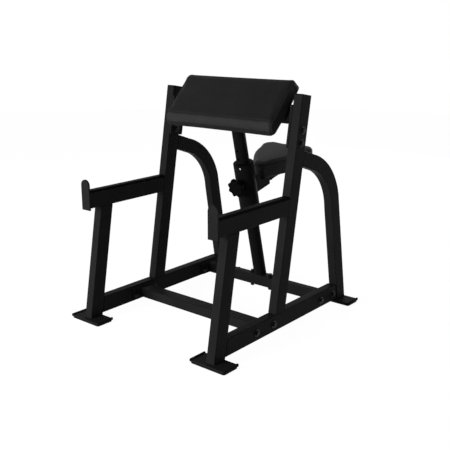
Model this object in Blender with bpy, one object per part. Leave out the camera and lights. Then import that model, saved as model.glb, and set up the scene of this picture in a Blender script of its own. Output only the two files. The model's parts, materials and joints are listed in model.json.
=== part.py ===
"""A seated preacher-curl bench: two bent-tube side frames, a sloping arm pad and a sliding seat.

Metres, +Z up. The origin is on the floor under the middle of the whole machine, seat included.
The user sits at +Y and faces -Y, where the two bar rests stand, so +X is at their left hand.
The side frames are laid out from the middle of their own footprint.
"""
from math import atan2, cos, hypot, pi, radians, sin, sqrt, tan

import bmesh
import bpy
from mathutils import Matrix, Vector

GAP = 0.0003

# Side frames
FOOTPRINT_LENGTH = 1.049
FRAME_SPACING = 0.755
TUBE_WIDTH = 0.045
TUBE_DEPTH = 0.072
RAIL_DEPTH = 0.078
TUBE_WALL = 0.003
TUBE_CORNER = 0.005
RAIL_UNDERSIDE = 0.0234
LEG_LEAN = radians(10.0)
LEG_SETBACK = 0.0195
UPRIGHT_LEAN = radians(9.77)
UPRIGHT_FOOT_Y = -0.0636
UPRIGHT_TOP = 1.0470

# Feet
FOOT_PLATE_WIDTH = 0.184
FOOT_PLATE_LENGTH = 0.091
FOOT_PLATE_THICKNESS = 0.006
RUBBER_FOOT_THICKNESS = 0.009
RUBBER_FOOT_INSET = 0.001
FOOT_CORNER = 0.010

# Bar rests
ARM_TOP = 0.6104
ARM_OVERHANG = 0.062
WEAR_STRIP_WIDTH = 0.032
WEAR_STRIP_THICKNESS = 0.010
WEAR_STRIP_CORNER = 0.003
HOOK_WIDTH = 0.052
HOOK_THICKNESS = 0.008
HOOK_RISE = 0.061
HOOK_DROP = 0.0075

# Rear arches
ARCH_HEAD_Y = 0.0935
ARCH_HEAD_Z = 0.7794
ARCH_HEAD_FALL = radians(18.9)
ARCH_FOOT_LEAN = radians(10.2)
ARCH_DEPTH = 0.0885
ARCH_RADIUS = 0.272
ARCH_STEPS = 12

# End caps
CAP_THICKNESS = 0.003
CAP_PLUG = 0.012
CAP_CLEARANCE = 0.0004

# Cross-members
CROSS_DEPTH = 0.070
CROSS_HEIGHT = 0.038
FRONT_CROSS_HEIGHT = 0.046
REAR_CROSS_DEPTH = 0.045
REAR_CROSS_HEIGHT = 0.055
FRONT_CROSS_Y = -0.1595
FRONT_CROSS_Z = 0.0614
REAR_CROSS_SETBACK = 0.182
REAR_CROSS_Z = 0.0594
UPPER_CROSS_Z = 0.9583
FLANGE_THICKNESS = 0.010
FLANGE_HEIGHT = 0.060
FLANGE_CORNER = 0.006
FLANGE_EDGE = 0.018
FRONT_BOLT_SPREAD = 0.124
REAR_BOLT_SPREAD = 0.108
UPPER_FLANGE_LENGTH = 0.188
UPPER_FLANGE_BACK = 0.010
UPPER_FLANGE_DROP = 0.0485
UPPER_BOLT_DROPS = (0.059, 0.114)

# Frame fasteners
BOLT_RADIUS = 0.006
BOLT_HEAD_FLATS = 0.019
BOLT_HEAD_HEIGHT = 0.0075
NUT_HEIGHT = 0.010
WASHER_RADIUS = 0.018
WASHER_THICKNESS = 0.0025
BOLT_PROJECTION = 0.003
HOLE_CLEARANCE = 0.0005
SMALL_BOLT_RADIUS = 0.004

# Centre post
POST_RADIUS = 0.03175
POST_WALL = 0.003
POST_FOOT_OFFSET = -0.00725
POST_HEAD_CLIMB = 0.008
POST_FLANGE_WIDTH = 0.140
POST_FLANGE_LENGTH = 0.062
POST_FLANGE_THICKNESS = 0.006
POST_BOLT_SPREAD = 0.113
POST_WASHER_RADIUS = 0.0125
HOLE_PITCH = 0.043
HOLES_EACH_WAY = 4
POST_HOLE_RADIUS = 0.0065
ROUND_SEGMENTS = 32

# Arm pad
PAD_SLOPE = radians(46.3)
PAD_WIDTH = 0.638
PAD_LOWER_REACH = 0.136
PAD_UPPER_REACH = 0.149
PAD_THICKNESS = 0.056
PAD_BOARD_THICKNESS = 0.015
PAD_BOARD_INSET = 0.016
PAD_NOSE_RADIUS = 0.041
PAD_ROLL_RADIUS = 0.020
PAD_CORNER = 0.025
PAD_CROWN = 0.0025
PAD_SIDE_PULL = 0.005
PAD_END_ROUND = 0.010
PAD_BACK_CORNER = 0.0115
PAD_BOLT_XS = (-0.22, -0.10, 0.10, 0.22)

# Seat carriage, placed along the centre post from its foot
CARRIAGE_HEIGHT = 0.530
SLEEVE_RADIUS = 0.0495
SLEEVE_WALL = 0.005
SLEEVE_ABOVE = 0.100
SLEEVE_BELOW = 0.188
LINER_LENGTH = 0.055
LINER_CLEARANCE = 0.0005
LINER_LIP = 0.006
LINER_LIP_CHAMFER = 0.003
LINER_SCREW_RADIUS = 0.0025
LINER_SCREW_DROP = 0.012
LINER_SCREW_TURN = radians(18)

# Pull pin and star knob
PIN_RADIUS = 0.006
PIN_STEM_RADIUS = 0.004
PIN_COLLAR_RADIUS = 0.008
PIN_COLLAR_THICKNESS = 0.003
PIN_NOSE_CLEARANCE = 0.0005
PIN_CLEARANCE = 0.0003
HOUSING_RADIUS = 0.013
HOUSING_INNER_END = 0.037
HOUSING_SHOULDER = 0.050
HOUSING_OUTER_END = 0.074
HOUSING_END_WALL = 0.0026
SPRING_WIRE = 0.0006
SPRING_TURNS = 5
SPRING_POINTS_PER_TURN = 10
KNOB_RADIUS = 0.047
KNOB_VALLEY = 0.0375
KNOB_LOBES = 8
KNOB_STEPS_PER_LOBE = 6
KNOB_FACE = 0.090
KNOB_HEAD_DEPTH = 0.025
KNOB_HUB_RADIUS = 0.0175
KNOB_BACK = 0.0520
KNOB_EDGE = 0.004
KNOB_POCKET_CLEARANCE = 0.0015

# Seat arm and seat, in the carriage's own coordinates
SEAT_ARM_WIDTH = 0.030
SEAT_ARM_DEPTH = 0.035
SEAT_ARM_UNDERSIDE = -0.063
SEAT_ARM_END = 0.285
SEAT_ARM_CORNER = 0.003
GUSSET_THICKNESS = 0.005
GUSSET_LENGTH = 0.158
GUSSET_DROP = 0.011
GUSSET_RISE = 0.046
GUSSET_SHOULDER = 0.090
GUSSET_ROUND = 0.006
SEAT_PLATE_THICKNESS = 0.004
SEAT_PLATE_LENGTH = 0.170
SEAT_PLATE_WIDTH = 0.110
SEAT_PLATE_START = 0.165
SEAT_BOLT_SETBACKS = (0.030, 0.100)
SEAT_BOARD_THICKNESS = 0.015
SEAT_BOARD_INSET = 0.014
SEAT_FRONT = 0.109
SEAT_REAR = 0.400
SEAT_FRONT_HALF_WIDTH = 0.033
SEAT_MIDDLE_HALF_WIDTH = 0.128
SEAT_REAR_HALF_WIDTH = 0.165
SEAT_MIDDLE = 0.238
SEAT_FRONT_CORNER = 0.020
SEAT_MIDDLE_CORNER = 0.200
SEAT_REAR_CORNER = 0.045
SEAT_THICKNESS = 0.0760
SEAT_CROWN = 0.004
SEAT_SIDE_PULL = 0.004
SEAT_EDGE_ROUND = 0.009

# Values that follow from the ones above
FRAME_X = FRAME_SPACING / 2
INNER_FACE_X = FRAME_X - TUBE_WIDTH / 2
FOOT_TOP = RUBBER_FOOT_THICKNESS + FOOT_PLATE_THICKNESS
RAIL_TOP = RAIL_UNDERSIDE + RAIL_DEPTH
REAR_CROSS_Y = FOOTPRINT_LENGTH / 2 - REAR_CROSS_SETBACK
ARM_UNDERSIDE = ARM_TOP - TUBE_DEPTH
FRONT_PLATE_Y = (FOOT_PLATE_LENGTH - FOOTPRINT_LENGTH) / 2
REAR_PLATE_Y = -FRONT_PLATE_Y
SIDES = {"left": 1, "right": -1}

POWDER_COAT = ("powder_coat", (0.012, 0.012, 0.013), 0.42, 0.0)
VINYL = ("vinyl", (0.016, 0.016, 0.017), 0.5, 0.0)
RUBBER = ("rubber", (0.015, 0.015, 0.015), 0.85, 0.0)
PLASTIC = ("plastic", (0.011, 0.011, 0.011), 0.55, 0.0)
PLYWOOD = ("plywood", (0.27, 0.17, 0.09), 0.75, 0.0)
DARK_ZINC = ("dark_zinc", (0.07, 0.07, 0.075), 0.35, 0.9)
BRIGHT_STEEL = ("bright_steel", (0.55, 0.55, 0.56), 0.3, 1.0)


def clear_scene():
    for scene_object in list(bpy.data.objects):
        bpy.data.objects.remove(scene_object, do_unlink=True)


def new_collection(name):
    collection = bpy.data.collections.new(name)
    bpy.context.scene.collection.children.link(collection)
    return collection


clear_scene()
MACHINE = new_collection("biceps_machine")
CUTTERS = new_collection("cutters")


def material(finish):
    """The Principled material of a finish, made once."""
    name, colour, roughness, metallic = finish
    found = bpy.data.materials.get(name)
    if found:
        return found
    made = bpy.data.materials.new(name)
    made.use_nodes = True
    shader = made.node_tree.nodes["Principled BSDF"]
    shader.inputs["Base Color"].default_value = (*colour, 1.0)
    shader.inputs["Roughness"].default_value = roughness
    shader.inputs["Metallic"].default_value = metallic
    made.diffuse_color = (*colour, 1.0)
    return made


def empty(name, place, parent=None):
    marker = bpy.data.objects.new(name, None)
    marker.empty_display_size = 0.05
    MACHINE.objects.link(marker)
    marker.parent = parent
    marker.matrix_local = place
    return marker


def face_outwards(bm):
    """Turns the faces of one closed body outwards."""
    bmesh.ops.recalc_face_normals(bm, faces=bm.faces[:])
    if bm.calc_volume(signed=True) < 0:
        bmesh.ops.reverse_faces(bm, faces=bm.faces[:])


def mesh_object(name, bm, finish, place=Matrix(), parent=None, smooth=True):
    """Turns the bmesh into an object of the machine; place is relative to the parent."""
    mesh = bpy.data.meshes.new(name)
    bm.to_mesh(mesh)
    bm.free()
    if smooth:
        mesh.shade_smooth()
        mesh.set_sharp_from_angle(angle=radians(35))
    made = bpy.data.objects.new(name, mesh)
    MACHINE.objects.link(made)
    made.parent = parent
    made.matrix_local = place
    mesh.materials.append(material(finish))
    return made


def cut(target, bm, label, operation="DIFFERENCE"):
    """Takes the bmesh, given in the target's own coordinates, out of the target, or adds it."""
    mesh = bpy.data.meshes.new(f"{target.name}_{label}")
    bm.to_mesh(mesh)
    bm.free()
    cutter = bpy.data.objects.new(mesh.name, mesh)
    CUTTERS.objects.link(cutter)
    cutter.parent = target
    cutter.hide_render = True
    cutter.display_type = "WIRE"
    boolean = target.modifiers.new(label, "BOOLEAN")
    boolean.operation = operation
    boolean.solver = "EXACT"
    boolean.object = cutter


def tilt(angle):
    """A turn about X that leans +Z towards -Y and lifts +Y."""
    return Matrix.Rotation(angle, 4, "X")


def side_place(side, y=0.0, z=0.0, turn=0.0):
    """Where a side frame's piece stands: on the tubes' centre plane of that side."""
    return Matrix.Translation((side * FRAME_X, y, z)) @ tilt(turn)


def rectangle_face(bm, width, depth, corner, steps=2):
    """A rectangle in the XY plane with round corners, as one face."""
    made = bmesh.ops.create_grid(bm, x_segments=1, y_segments=1, size=0.5)
    bmesh.ops.scale(bm, vec=(width, depth, 1.0), verts=made["verts"])
    if corner:
        bmesh.ops.bevel(bm, geom=made["verts"], offset=corner, offset_type="OFFSET", segments=steps,
                        profile=0.5, affect="VERTICES")
    bm.faces.ensure_lookup_table()
    return bm.faces[-1]


def circle_face(bm, radius, segments=ROUND_SEGMENTS):
    """A disc in the XY plane, as one face."""
    bmesh.ops.create_circle(bm, cap_ends=True, radius=radius, segments=segments)
    bm.faces.ensure_lookup_table()
    return bm.faces[-1]


def far_face(bm, geometry, start):
    """The last face of an extrusion; the face that it started from goes where it now lies inside."""
    far = [item for item in geometry if isinstance(item, bmesh.types.BMFace)][0]
    if any(len(edge.link_faces) > 2 for edge in start.edges):
        bmesh.ops.delete(bm, geom=[start], context="FACES_ONLY")
    return far


def extrude(bm, face, vector):
    """Extrudes a face along a vector and returns the face at the far end."""
    grown = bmesh.ops.extrude_face_region(bm, geom=[face])["geom"]
    far = far_face(bm, grown, face)
    bmesh.ops.translate(bm, vec=vector, verts=far.verts[:])
    return far


def trim(bm, point, normal):
    """Cuts off what lies beyond a plane and closes the cut."""
    everything = bm.verts[:] + bm.edges[:] + bm.faces[:]
    result = bmesh.ops.bisect_plane(bm, geom=everything, dist=1e-7, plane_co=point, plane_no=normal,
                                    clear_outer=True)
    edges = [item for item in result["geom_cut"] if isinstance(item, bmesh.types.BMEdge)]
    if edges:
        bmesh.ops.edgeloop_fill(bm, edges=edges)


def prism(face_maker, low, high, trims=(), place=Matrix()):
    """A bar along Z from low to high whose section is the face, trimmed by planes given in the
    parent's coordinates."""
    bm = bmesh.new()
    face = face_maker(bm)
    bmesh.ops.translate(bm, vec=(0, 0, low), verts=bm.verts[:])
    extrude(bm, face, (0, 0, high - low))
    to_local = place.inverted()
    for point, normal in trims:
        local_normal = to_local.to_3x3() @ Vector(normal)
        trim(bm, to_local @ Vector(point), local_normal)
    face_outwards(bm)
    return bm


def cylinder(radius, low, high, segments=ROUND_SEGMENTS, place=Matrix()):
    """A solid cylinder along its own Z, set down by place."""
    bm = prism(lambda b: circle_face(b, radius, segments), low, high)
    bm.transform(place)
    return bm


def box(low, high):
    """A box between two corners."""
    bm = bmesh.new()
    low = Vector(low)
    high = Vector(high)
    size = high - low
    matrix = Matrix.Translation((low + high) / 2) @ Matrix.Diagonal((*size, 1.0))
    bmesh.ops.create_cube(bm, size=1.0, matrix=matrix)
    return bm


def merge(target, addition):
    """Adds a second bmesh to the first as separate bodies."""
    mesh = bpy.data.meshes.new("merging")
    addition.to_mesh(mesh)
    addition.free()
    target.from_mesh(mesh)
    bpy.data.meshes.remove(mesh)
    return target


def square_tube(name, width, depth, corner, wall, low, high, trims, place, finish, parent=None):
    """A hollow rectangular tube along its own Z, open at both ends."""
    outer = prism(lambda b: rectangle_face(b, width, depth, corner), low, high, trims, place)
    tube = mesh_object(name, outer, finish, place, parent)
    inner_corner = max(corner - wall, 0.0005)
    inner = prism(lambda b: rectangle_face(b, width - 2 * wall, depth - 2 * wall, inner_corner, 1),
                  low - depth, high + depth)
    cut(tube, inner, "bore")
    return tube


def lathe(profile, segments=ROUND_SEGMENTS, place=Matrix()):
    """A closed profile of (radius, z) points turned about Z."""
    bm = bmesh.new()
    verts = [bm.verts.new((radius, 0, z)) for radius, z in profile]
    edges = [bm.edges.new((verts[i - 1], verts[i])) for i in range(len(verts))]
    bmesh.ops.spin(bm, geom=verts + edges, cent=(0, 0, 0), axis=(0, 0, 1), angle=2 * pi,
                   steps=segments, use_merge=False)
    bmesh.ops.remove_doubles(bm, verts=bm.verts[:], dist=1e-6)
    face_outwards(bm)
    bm.transform(place)
    return bm


def turned(stations, segments=ROUND_SEGMENTS, place=Matrix()):
    """A solid about Z through (z, radius) stations in rising order; two at one z make a step."""
    bm = bmesh.new()
    z, radius = stations[0]
    face = circle_face(bm, radius, segments)
    bmesh.ops.translate(bm, vec=(0, 0, z), verts=bm.verts[:])
    for next_z, next_radius in stations[1:]:
        face = extrude(bm, face, (0, 0, next_z - z))
        scale = next_radius / radius
        bmesh.ops.scale(bm, vec=(scale, scale, 1), verts=face.verts[:])
        z, radius = next_z, next_radius
    face_outwards(bm)
    bm.transform(place)
    return bm


def to_hexagon(vert, flats):
    """Moves a rim vertex out to a hexagon's outline, seen along Z."""
    angle = atan2(vert.co.y, vert.co.x)
    from_flat = (angle % (pi / 3)) - pi / 6
    reach = flats / 2 / cos(from_flat)
    vert.co.x = reach * cos(angle)
    vert.co.y = reach * sin(angle)


def bolt(radius, washer_radius, flats, head_height, nut_height, grip, place):
    """A hexagon bolt along its own -Z, with its washers and its nut run up, as one turned body.
    The origin is on the face under the upper washer; grip is what the washers hold between them."""
    rim = flats / 2
    lower_washer = -grip - WASHER_THICKNESS
    nut_end = lower_washer - nut_height
    head = WASHER_THICKNESS
    bm = turned([(nut_end - BOLT_PROJECTION, radius), (nut_end, radius), (nut_end, rim), (lower_washer, rim),
                 (lower_washer, washer_radius), (-grip, washer_radius), (-grip, radius), (0, radius),
                 (0, washer_radius), (head, washer_radius), (head, rim), (head + head_height, rim)], 12)
    for vert in bm.verts:
        if abs(hypot(vert.co.x, vert.co.y) - rim) < rim / 10:
            to_hexagon(vert, flats)
    bm.transform(place)
    return bm


def arc(centre, radius, start, end, steps):
    """Points on an arc, its two ends among them; the angles are in radians."""
    points = []
    for step in range(steps + 1):
        angle = start + (end - start) * step / steps
        points.append((centre[0] + radius * cos(angle), centre[1] + radius * sin(angle)))
    return points


def rounded_outline(corners, steps=4):
    """A closed outline through corners given as (x, y, radius), anticlockwise and convex there."""
    points = []
    count = len(corners)
    for index in range(count):
        before = Vector(corners[index - 1][:2])
        corner = Vector(corners[index][:2])
        after = Vector(corners[(index + 1) % count][:2])
        radius = corners[index][2]
        if not radius:
            points.append(tuple(corner))
            continue
        incoming = (corner - before).normalized()
        outgoing = (after - corner).normalized()
        turn = incoming.angle_signed(outgoing)
        reach = radius * tan(abs(turn) / 2)
        left = Vector((-incoming.y, incoming.x)) * (1 if turn < 0 else -1)
        centre = corner - incoming * reach + left * radius
        start = atan2(*reversed(corner - incoming * reach - centre))
        points += arc(centre, radius, start, start - turn, steps)
    return points


def plate(name, outlines, thickness, finish, place, parent=None):
    """A flat plate on its own XY plane, with every outline after the first one a hole."""
    curve = bpy.data.curves.new(name, "CURVE")
    curve.dimensions = "2D"
    curve.fill_mode = "BOTH"
    curve.extrude = thickness / 2
    for outline in outlines:
        spline = curve.splines.new("POLY")
        spline.points.add(len(outline) - 1)
        for point, (x, y) in zip(spline.points, outline):
            point.co = (x, y, 0.0, 1.0)
        spline.use_cyclic_u = True
    made = bpy.data.objects.new(name, curve)
    MACHINE.objects.link(made)
    made.parent = parent
    made.matrix_local = place @ Matrix.Translation((0, 0, thickness / 2))
    curve.materials.append(material(finish))
    return made


def hole_outline(x, y, radius):
    return arc((x, y), radius, 0, 2 * pi * 11 / 12, 11)


def rectangle_outline(width, depth, corner, centre=(0.0, 0.0)):
    x, y = centre
    half_width = width / 2
    half_depth = depth / 2
    corners = [(x - half_width, y - half_depth, corner), (x + half_width, y - half_depth, corner),
               (x + half_width, y + half_depth, corner), (x - half_width, y + half_depth, corner)]
    return rounded_outline(corners)


def outline_face(bm, outline):
    """A face with a given outline in the XY plane."""
    return bm.faces.new([bm.verts.new((x, y, 0)) for x, y in outline])


def refine(outline, longest):
    """Puts evenly spaced points on the outline's long sides."""
    points = []
    for index in range(len(outline)):
        here = Vector(outline[index])
        after = Vector(outline[(index + 1) % len(outline)])
        pieces = max(1, round((after - here).length / longest))
        points += [tuple(here.lerp(after, piece / pieces)) for piece in range(pieces)]
    return points


def offset_outline(outline, distance):
    """Moves an anticlockwise outline inwards by a distance that is small beside its corners."""
    points = []
    for index in range(len(outline)):
        before = Vector(outline[index - 1])
        here = Vector(outline[index])
        after = Vector(outline[(index + 1) % len(outline)])
        along = ((here - before).normalized() + (after - here).normalized()).normalized()
        points.append(tuple(here + Vector((-along.y, along.x)) * distance))
    return points


def loft(rings):
    """Skins rings of equally many points and closes the first and the last with a face."""
    bm = bmesh.new()
    loops = [[bm.verts.new(point) for point in points] for points in rings]
    count = len(loops[0])
    for low, high in zip(loops, loops[1:]):
        for index in range(count):
            bm.faces.new((low[index - 1], low[index], high[index], high[index - 1]))
    bm.faces.new(reversed(loops[0]))
    bm.faces.new(loops[-1])
    face_outwards(bm)
    return bm


def drill(target, radius, length, places):
    """Drills round holes into a mesh piece; each place is a hole's middle, its Z along the hole."""
    to_local = target.matrix_basis.inverted()
    holes = bmesh.new()
    for place in places:
        merge(holes, cylinder(radius, -length / 2, length / 2, 12, to_local @ place))
    cut(target, holes, "holes")


ALONG_X = Matrix(((0, 0, 1, 0), (1, 0, 0, 0), (0, 1, 0, 0), (0, 0, 0, 1)))

# Side frames

LEG_DIRECTION = Vector((0, sin(LEG_LEAN), cos(LEG_LEAN)))
LEG_NORMAL = Vector((0, cos(LEG_LEAN), -sin(LEG_LEAN)))
LEG_FRONT = Vector((0, FRONT_PLATE_Y - FOOT_PLATE_LENGTH / 2 + LEG_SETBACK, FOOT_TOP))
LEG_REAR = LEG_FRONT + Vector((0, TUBE_DEPTH / cos(LEG_LEAN), 0))
LEG_BASE = (LEG_FRONT + LEG_REAR) / 2

UPRIGHT_DIRECTION = Vector((0, sin(UPRIGHT_LEAN), cos(UPRIGHT_LEAN)))
UPRIGHT_NORMAL = Vector((0, cos(UPRIGHT_LEAN), -sin(UPRIGHT_LEAN)))
UPRIGHT_BASE = Vector((0, UPRIGHT_FOOT_Y + RAIL_TOP * tan(UPRIGHT_LEAN), RAIL_TOP))
UPRIGHT_LENGTH = (UPRIGHT_TOP - RAIL_TOP) / cos(UPRIGHT_LEAN)
UPRIGHT_FRONT_POINT = UPRIGHT_BASE - UPRIGHT_NORMAL * TUBE_DEPTH / 2
UPRIGHT_REAR_POINT = UPRIGHT_BASE + UPRIGHT_NORMAL * TUBE_DEPTH / 2


def on_line(point, direction, z):
    """The point of a line at height z."""
    return point + direction * ((z - point.z) / direction.z)


UPPER_CROSS_CENTRE = on_line(UPRIGHT_BASE, UPRIGHT_DIRECTION, UPPER_CROSS_Z)
PAD_PLACE = Matrix.Translation(UPPER_CROSS_CENTRE) @ tilt(PAD_SLOPE)
FRONT_BOLTS = [(FRONT_CROSS_Y + end * FRONT_BOLT_SPREAD / 2, FRONT_CROSS_Z) for end in (-1, 1)]
REAR_BOLTS = [(REAR_CROSS_Y + end * REAR_BOLT_SPREAD / 2, REAR_CROSS_Z) for end in (-1, 1)]
RAIL_BOLTS = FRONT_BOLTS + REAR_BOLTS
UPRIGHT_BOLTS = [tuple(UPPER_CROSS_CENTRE - UPRIGHT_DIRECTION * drop)[1:] for drop in UPPER_BOLT_DROPS]

ARM_FRONT_Y = on_line(LEG_FRONT, LEG_DIRECTION, ARM_UNDERSIDE).y - ARM_OVERHANG
ARM_CENTRE_Z = ARM_TOP - TUBE_DEPTH / 2
RAIL_CENTRE_Z = RAIL_UNDERSIDE + RAIL_DEPTH / 2

ARCH_HEAD = Vector((0, ARCH_HEAD_Y, ARCH_HEAD_Z))
ARCH_HEAD_DIRECTION = Vector((0, cos(ARCH_HEAD_FALL), -sin(ARCH_HEAD_FALL)))
ARCH_FOOT = Vector((0, REAR_PLATE_Y, FOOT_TOP))
ARCH_FOOT_DIRECTION = Vector((0, sin(ARCH_FOOT_LEAN), -cos(ARCH_FOOT_LEAN)))
ARCH_TURN = pi / 2 - ARCH_HEAD_FALL - ARCH_FOOT_LEAN
ARCH_FRONT_NORMAL = Vector((0, cos(ARCH_FOOT_LEAN), sin(ARCH_FOOT_LEAN)))
ARCH_FRONT_POINT = ARCH_FOOT - ARCH_FRONT_NORMAL * ARCH_DEPTH / 2


def arch_tangents():
    """Where the arch's bend starts and ends, and the bend's centre."""
    across = ARCH_FOOT - ARCH_HEAD
    head = ARCH_HEAD_DIRECTION
    foot = ARCH_FOOT_DIRECTION
    determinant = head.y * foot.z - head.z * foot.y
    along = (across.y * foot.z - across.z * foot.y) / determinant
    meeting = ARCH_HEAD + head * along
    reach = ARCH_RADIUS * tan(ARCH_TURN / 2)
    start = meeting - head * reach
    end = meeting + foot * reach
    inward = Vector((0, -sin(ARCH_HEAD_FALL), -cos(ARCH_HEAD_FALL)))
    return start, end, start + inward * ARCH_RADIUS


def arch_bar(width, depth, corner, steps, overrun):
    """The arch as a solid bar: straight, bent and straight again, overrunning both ends."""
    start, end, centre = arch_tangents()
    head = ARCH_HEAD - ARCH_HEAD_DIRECTION * overrun
    foot = ARCH_FOOT + ARCH_FOOT_DIRECTION * overrun
    bm = bmesh.new()
    face = rectangle_face(bm, width, depth, corner, steps)
    turn = tilt(pi / 2 + ARCH_HEAD_FALL)
    bm.transform(Matrix.Translation(head) @ turn)
    face = extrude(bm, face, start - head)
    spun = bmesh.ops.spin(bm, geom=[face], cent=centre, axis=(1, 0, 0), angle=-ARCH_TURN,
                          steps=ARCH_STEPS)
    face = far_face(bm, spun["geom_last"], face)
    extrude(bm, face, foot - end)
    face_outwards(bm)
    return bm


def side_frame(name, side):
    """One welded side frame: rail, leg, upright, bar arm and arch, with its hook and feet."""
    inner_z = FOOT_TOP + GAP
    leg_place = Matrix.Translation((side * FRAME_X, LEG_BASE.y, LEG_BASE.z)) @ tilt(-LEG_LEAN)
    leg_top = (ARM_UNDERSIDE - FOOT_TOP) / cos(LEG_LEAN)
    square_tube(f"{name}_front_leg", TUBE_WIDTH, TUBE_DEPTH, TUBE_CORNER, TUBE_WALL, -TUBE_DEPTH,
                leg_top + TUBE_DEPTH,
                [((0, 0, inner_z), (0, 0, -1)), ((0, 0, ARM_UNDERSIDE - GAP), (0, 0, 1))],
                leg_place, POWDER_COAT)

    rail_place = side_place(side, 0, RAIL_CENTRE_Z, -pi / 2)
    rail_start = LEG_REAR + LEG_NORMAL * GAP
    rail_end = ARCH_FRONT_POINT - ARCH_FRONT_NORMAL * GAP
    rail = square_tube(f"{name}_rail", TUBE_WIDTH, RAIL_DEPTH, TUBE_CORNER, TUBE_WALL, -FOOTPRINT_LENGTH / 2,
                       FOOTPRINT_LENGTH / 2, [(rail_start, -LEG_NORMAL), (rail_end, ARCH_FRONT_NORMAL)],
                       rail_place, POWDER_COAT)
    drill(rail, BOLT_RADIUS + HOLE_CLEARANCE, TUBE_WIDTH + 2 * TUBE_WALL,
          [side_place(side, y, z) @ ALONG_X for y, z in RAIL_BOLTS])

    upright_place = Matrix.Translation((side * FRAME_X, UPRIGHT_BASE.y, UPRIGHT_BASE.z))
    upright_place = upright_place @ tilt(-UPRIGHT_LEAN)
    upright = square_tube(f"{name}_upright", TUBE_WIDTH, TUBE_DEPTH, TUBE_CORNER, TUBE_WALL, -TUBE_DEPTH,
                          UPRIGHT_LENGTH, [((0, 0, RAIL_TOP + GAP), (0, 0, -1))], upright_place,
                          POWDER_COAT)
    drill(upright, BOLT_RADIUS + HOLE_CLEARANCE, TUBE_WIDTH + 2 * TUBE_WALL,
          [side_place(side, y, z) @ ALONG_X for y, z in UPRIGHT_BOLTS])

    arm_place = side_place(side, 0, ARM_CENTRE_Z, -pi / 2)
    arm_end = UPRIGHT_FRONT_POINT - UPRIGHT_NORMAL * GAP
    square_tube(f"{name}_bar_arm", TUBE_WIDTH, TUBE_DEPTH, TUBE_CORNER, TUBE_WALL, ARM_FRONT_Y,
                FOOTPRINT_LENGTH / 2, [(arm_end, UPRIGHT_NORMAL)], arm_place, POWDER_COAT)

    strip_place = side_place(side, 0, ARM_TOP + GAP + WEAR_STRIP_THICKNESS / 2, -pi / 2)
    strip = prism(lambda b: rectangle_face(b, WEAR_STRIP_WIDTH, WEAR_STRIP_THICKNESS, WEAR_STRIP_CORNER),
                  ARM_FRONT_Y, FOOTPRINT_LENGTH / 2, [(arm_end, UPRIGHT_NORMAL)], strip_place)
    mesh_object(f"{name}_wear_strip", strip, PLASTIC, strip_place)

    half_hook = HOOK_WIDTH / 2
    hook_low = ARM_UNDERSIDE - HOOK_DROP
    hook_round = ARM_TOP + HOOK_RISE - half_hook
    hook_outline = [(-half_hook, hook_low), (half_hook, hook_low)]
    hook_outline += arc((0, hook_round), half_hook, 0, pi, 12)
    hook_turn = tilt(pi / 2)
    plate(f"{name}_hook_plate", [hook_outline], HOOK_THICKNESS, POWDER_COAT,
          Matrix.Translation((side * FRAME_X, ARM_FRONT_Y - GAP, 0)) @ hook_turn)

    arch = arch_bar(TUBE_WIDTH, ARCH_DEPTH, TUBE_CORNER, 2, TUBE_DEPTH)
    trim(arch, UPRIGHT_REAR_POINT + UPRIGHT_NORMAL * GAP, -UPRIGHT_NORMAL)
    trim(arch, (0, 0, inner_z), (0, 0, -1))
    arch_object = mesh_object(f"{name}_rear_arch", arch, POWDER_COAT, side_place(side))
    bore = arch_bar(TUBE_WIDTH - 2 * TUBE_WALL, ARCH_DEPTH - 2 * TUBE_WALL, TUBE_CORNER - TUBE_WALL, 1,
                    2 * TUBE_DEPTH)
    cut(arch_object, bore, "bore")

    for end, y in (("front", FRONT_PLATE_Y), ("rear", REAR_PLATE_Y)):
        outline = rectangle_outline(FOOT_PLATE_WIDTH, FOOT_PLATE_LENGTH, FOOT_CORNER)
        plate(f"{name}_{end}_foot_plate", [outline], FOOT_PLATE_THICKNESS, POWDER_COAT,
              side_place(side, y, RUBBER_FOOT_THICKNESS))
        inset = 2 * RUBBER_FOOT_INSET
        outline = rectangle_outline(FOOT_PLATE_WIDTH - inset, FOOT_PLATE_LENGTH - inset, FOOT_CORNER)
        plate(f"{name}_{end}_rubber_foot", [outline], RUBBER_FOOT_THICKNESS - GAP, RUBBER,
              side_place(side, y, 0))

    cap_place = upright_place @ Matrix.Translation((0, 0, UPRIGHT_LENGTH + GAP))
    end_cap(f"{name}_upright_cap", TUBE_WIDTH, TUBE_DEPTH, TUBE_CORNER, TUBE_WALL, cap_place)


def end_cap(name, width, depth, corner, wall, place, parent=None):
    """A moulded plug whose cover lies on its own XY plane, the plug below it."""
    bm = bmesh.new()
    face = rectangle_face(bm, width, depth, corner)
    extrude(bm, face, (0, 0, CAP_THICKNESS))
    face = min(bm.faces, key=lambda f: f.calc_center_median().z)
    plug = extrude(bm, face, (0, 0, 0))
    shrink = wall + CAP_CLEARANCE
    bmesh.ops.scale(bm, vec=(1 - 2 * shrink / width, 1 - 2 * shrink / depth, 1), verts=plug.verts[:])
    extrude(bm, plug, (0, 0, -CAP_PLUG))
    face_outwards(bm)
    mesh_object(name, bm, PLASTIC, place, parent)


# Cross-members and their fasteners

FLANGE_INNER_X = INNER_FACE_X - GAP - FLANGE_THICKNESS


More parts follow.
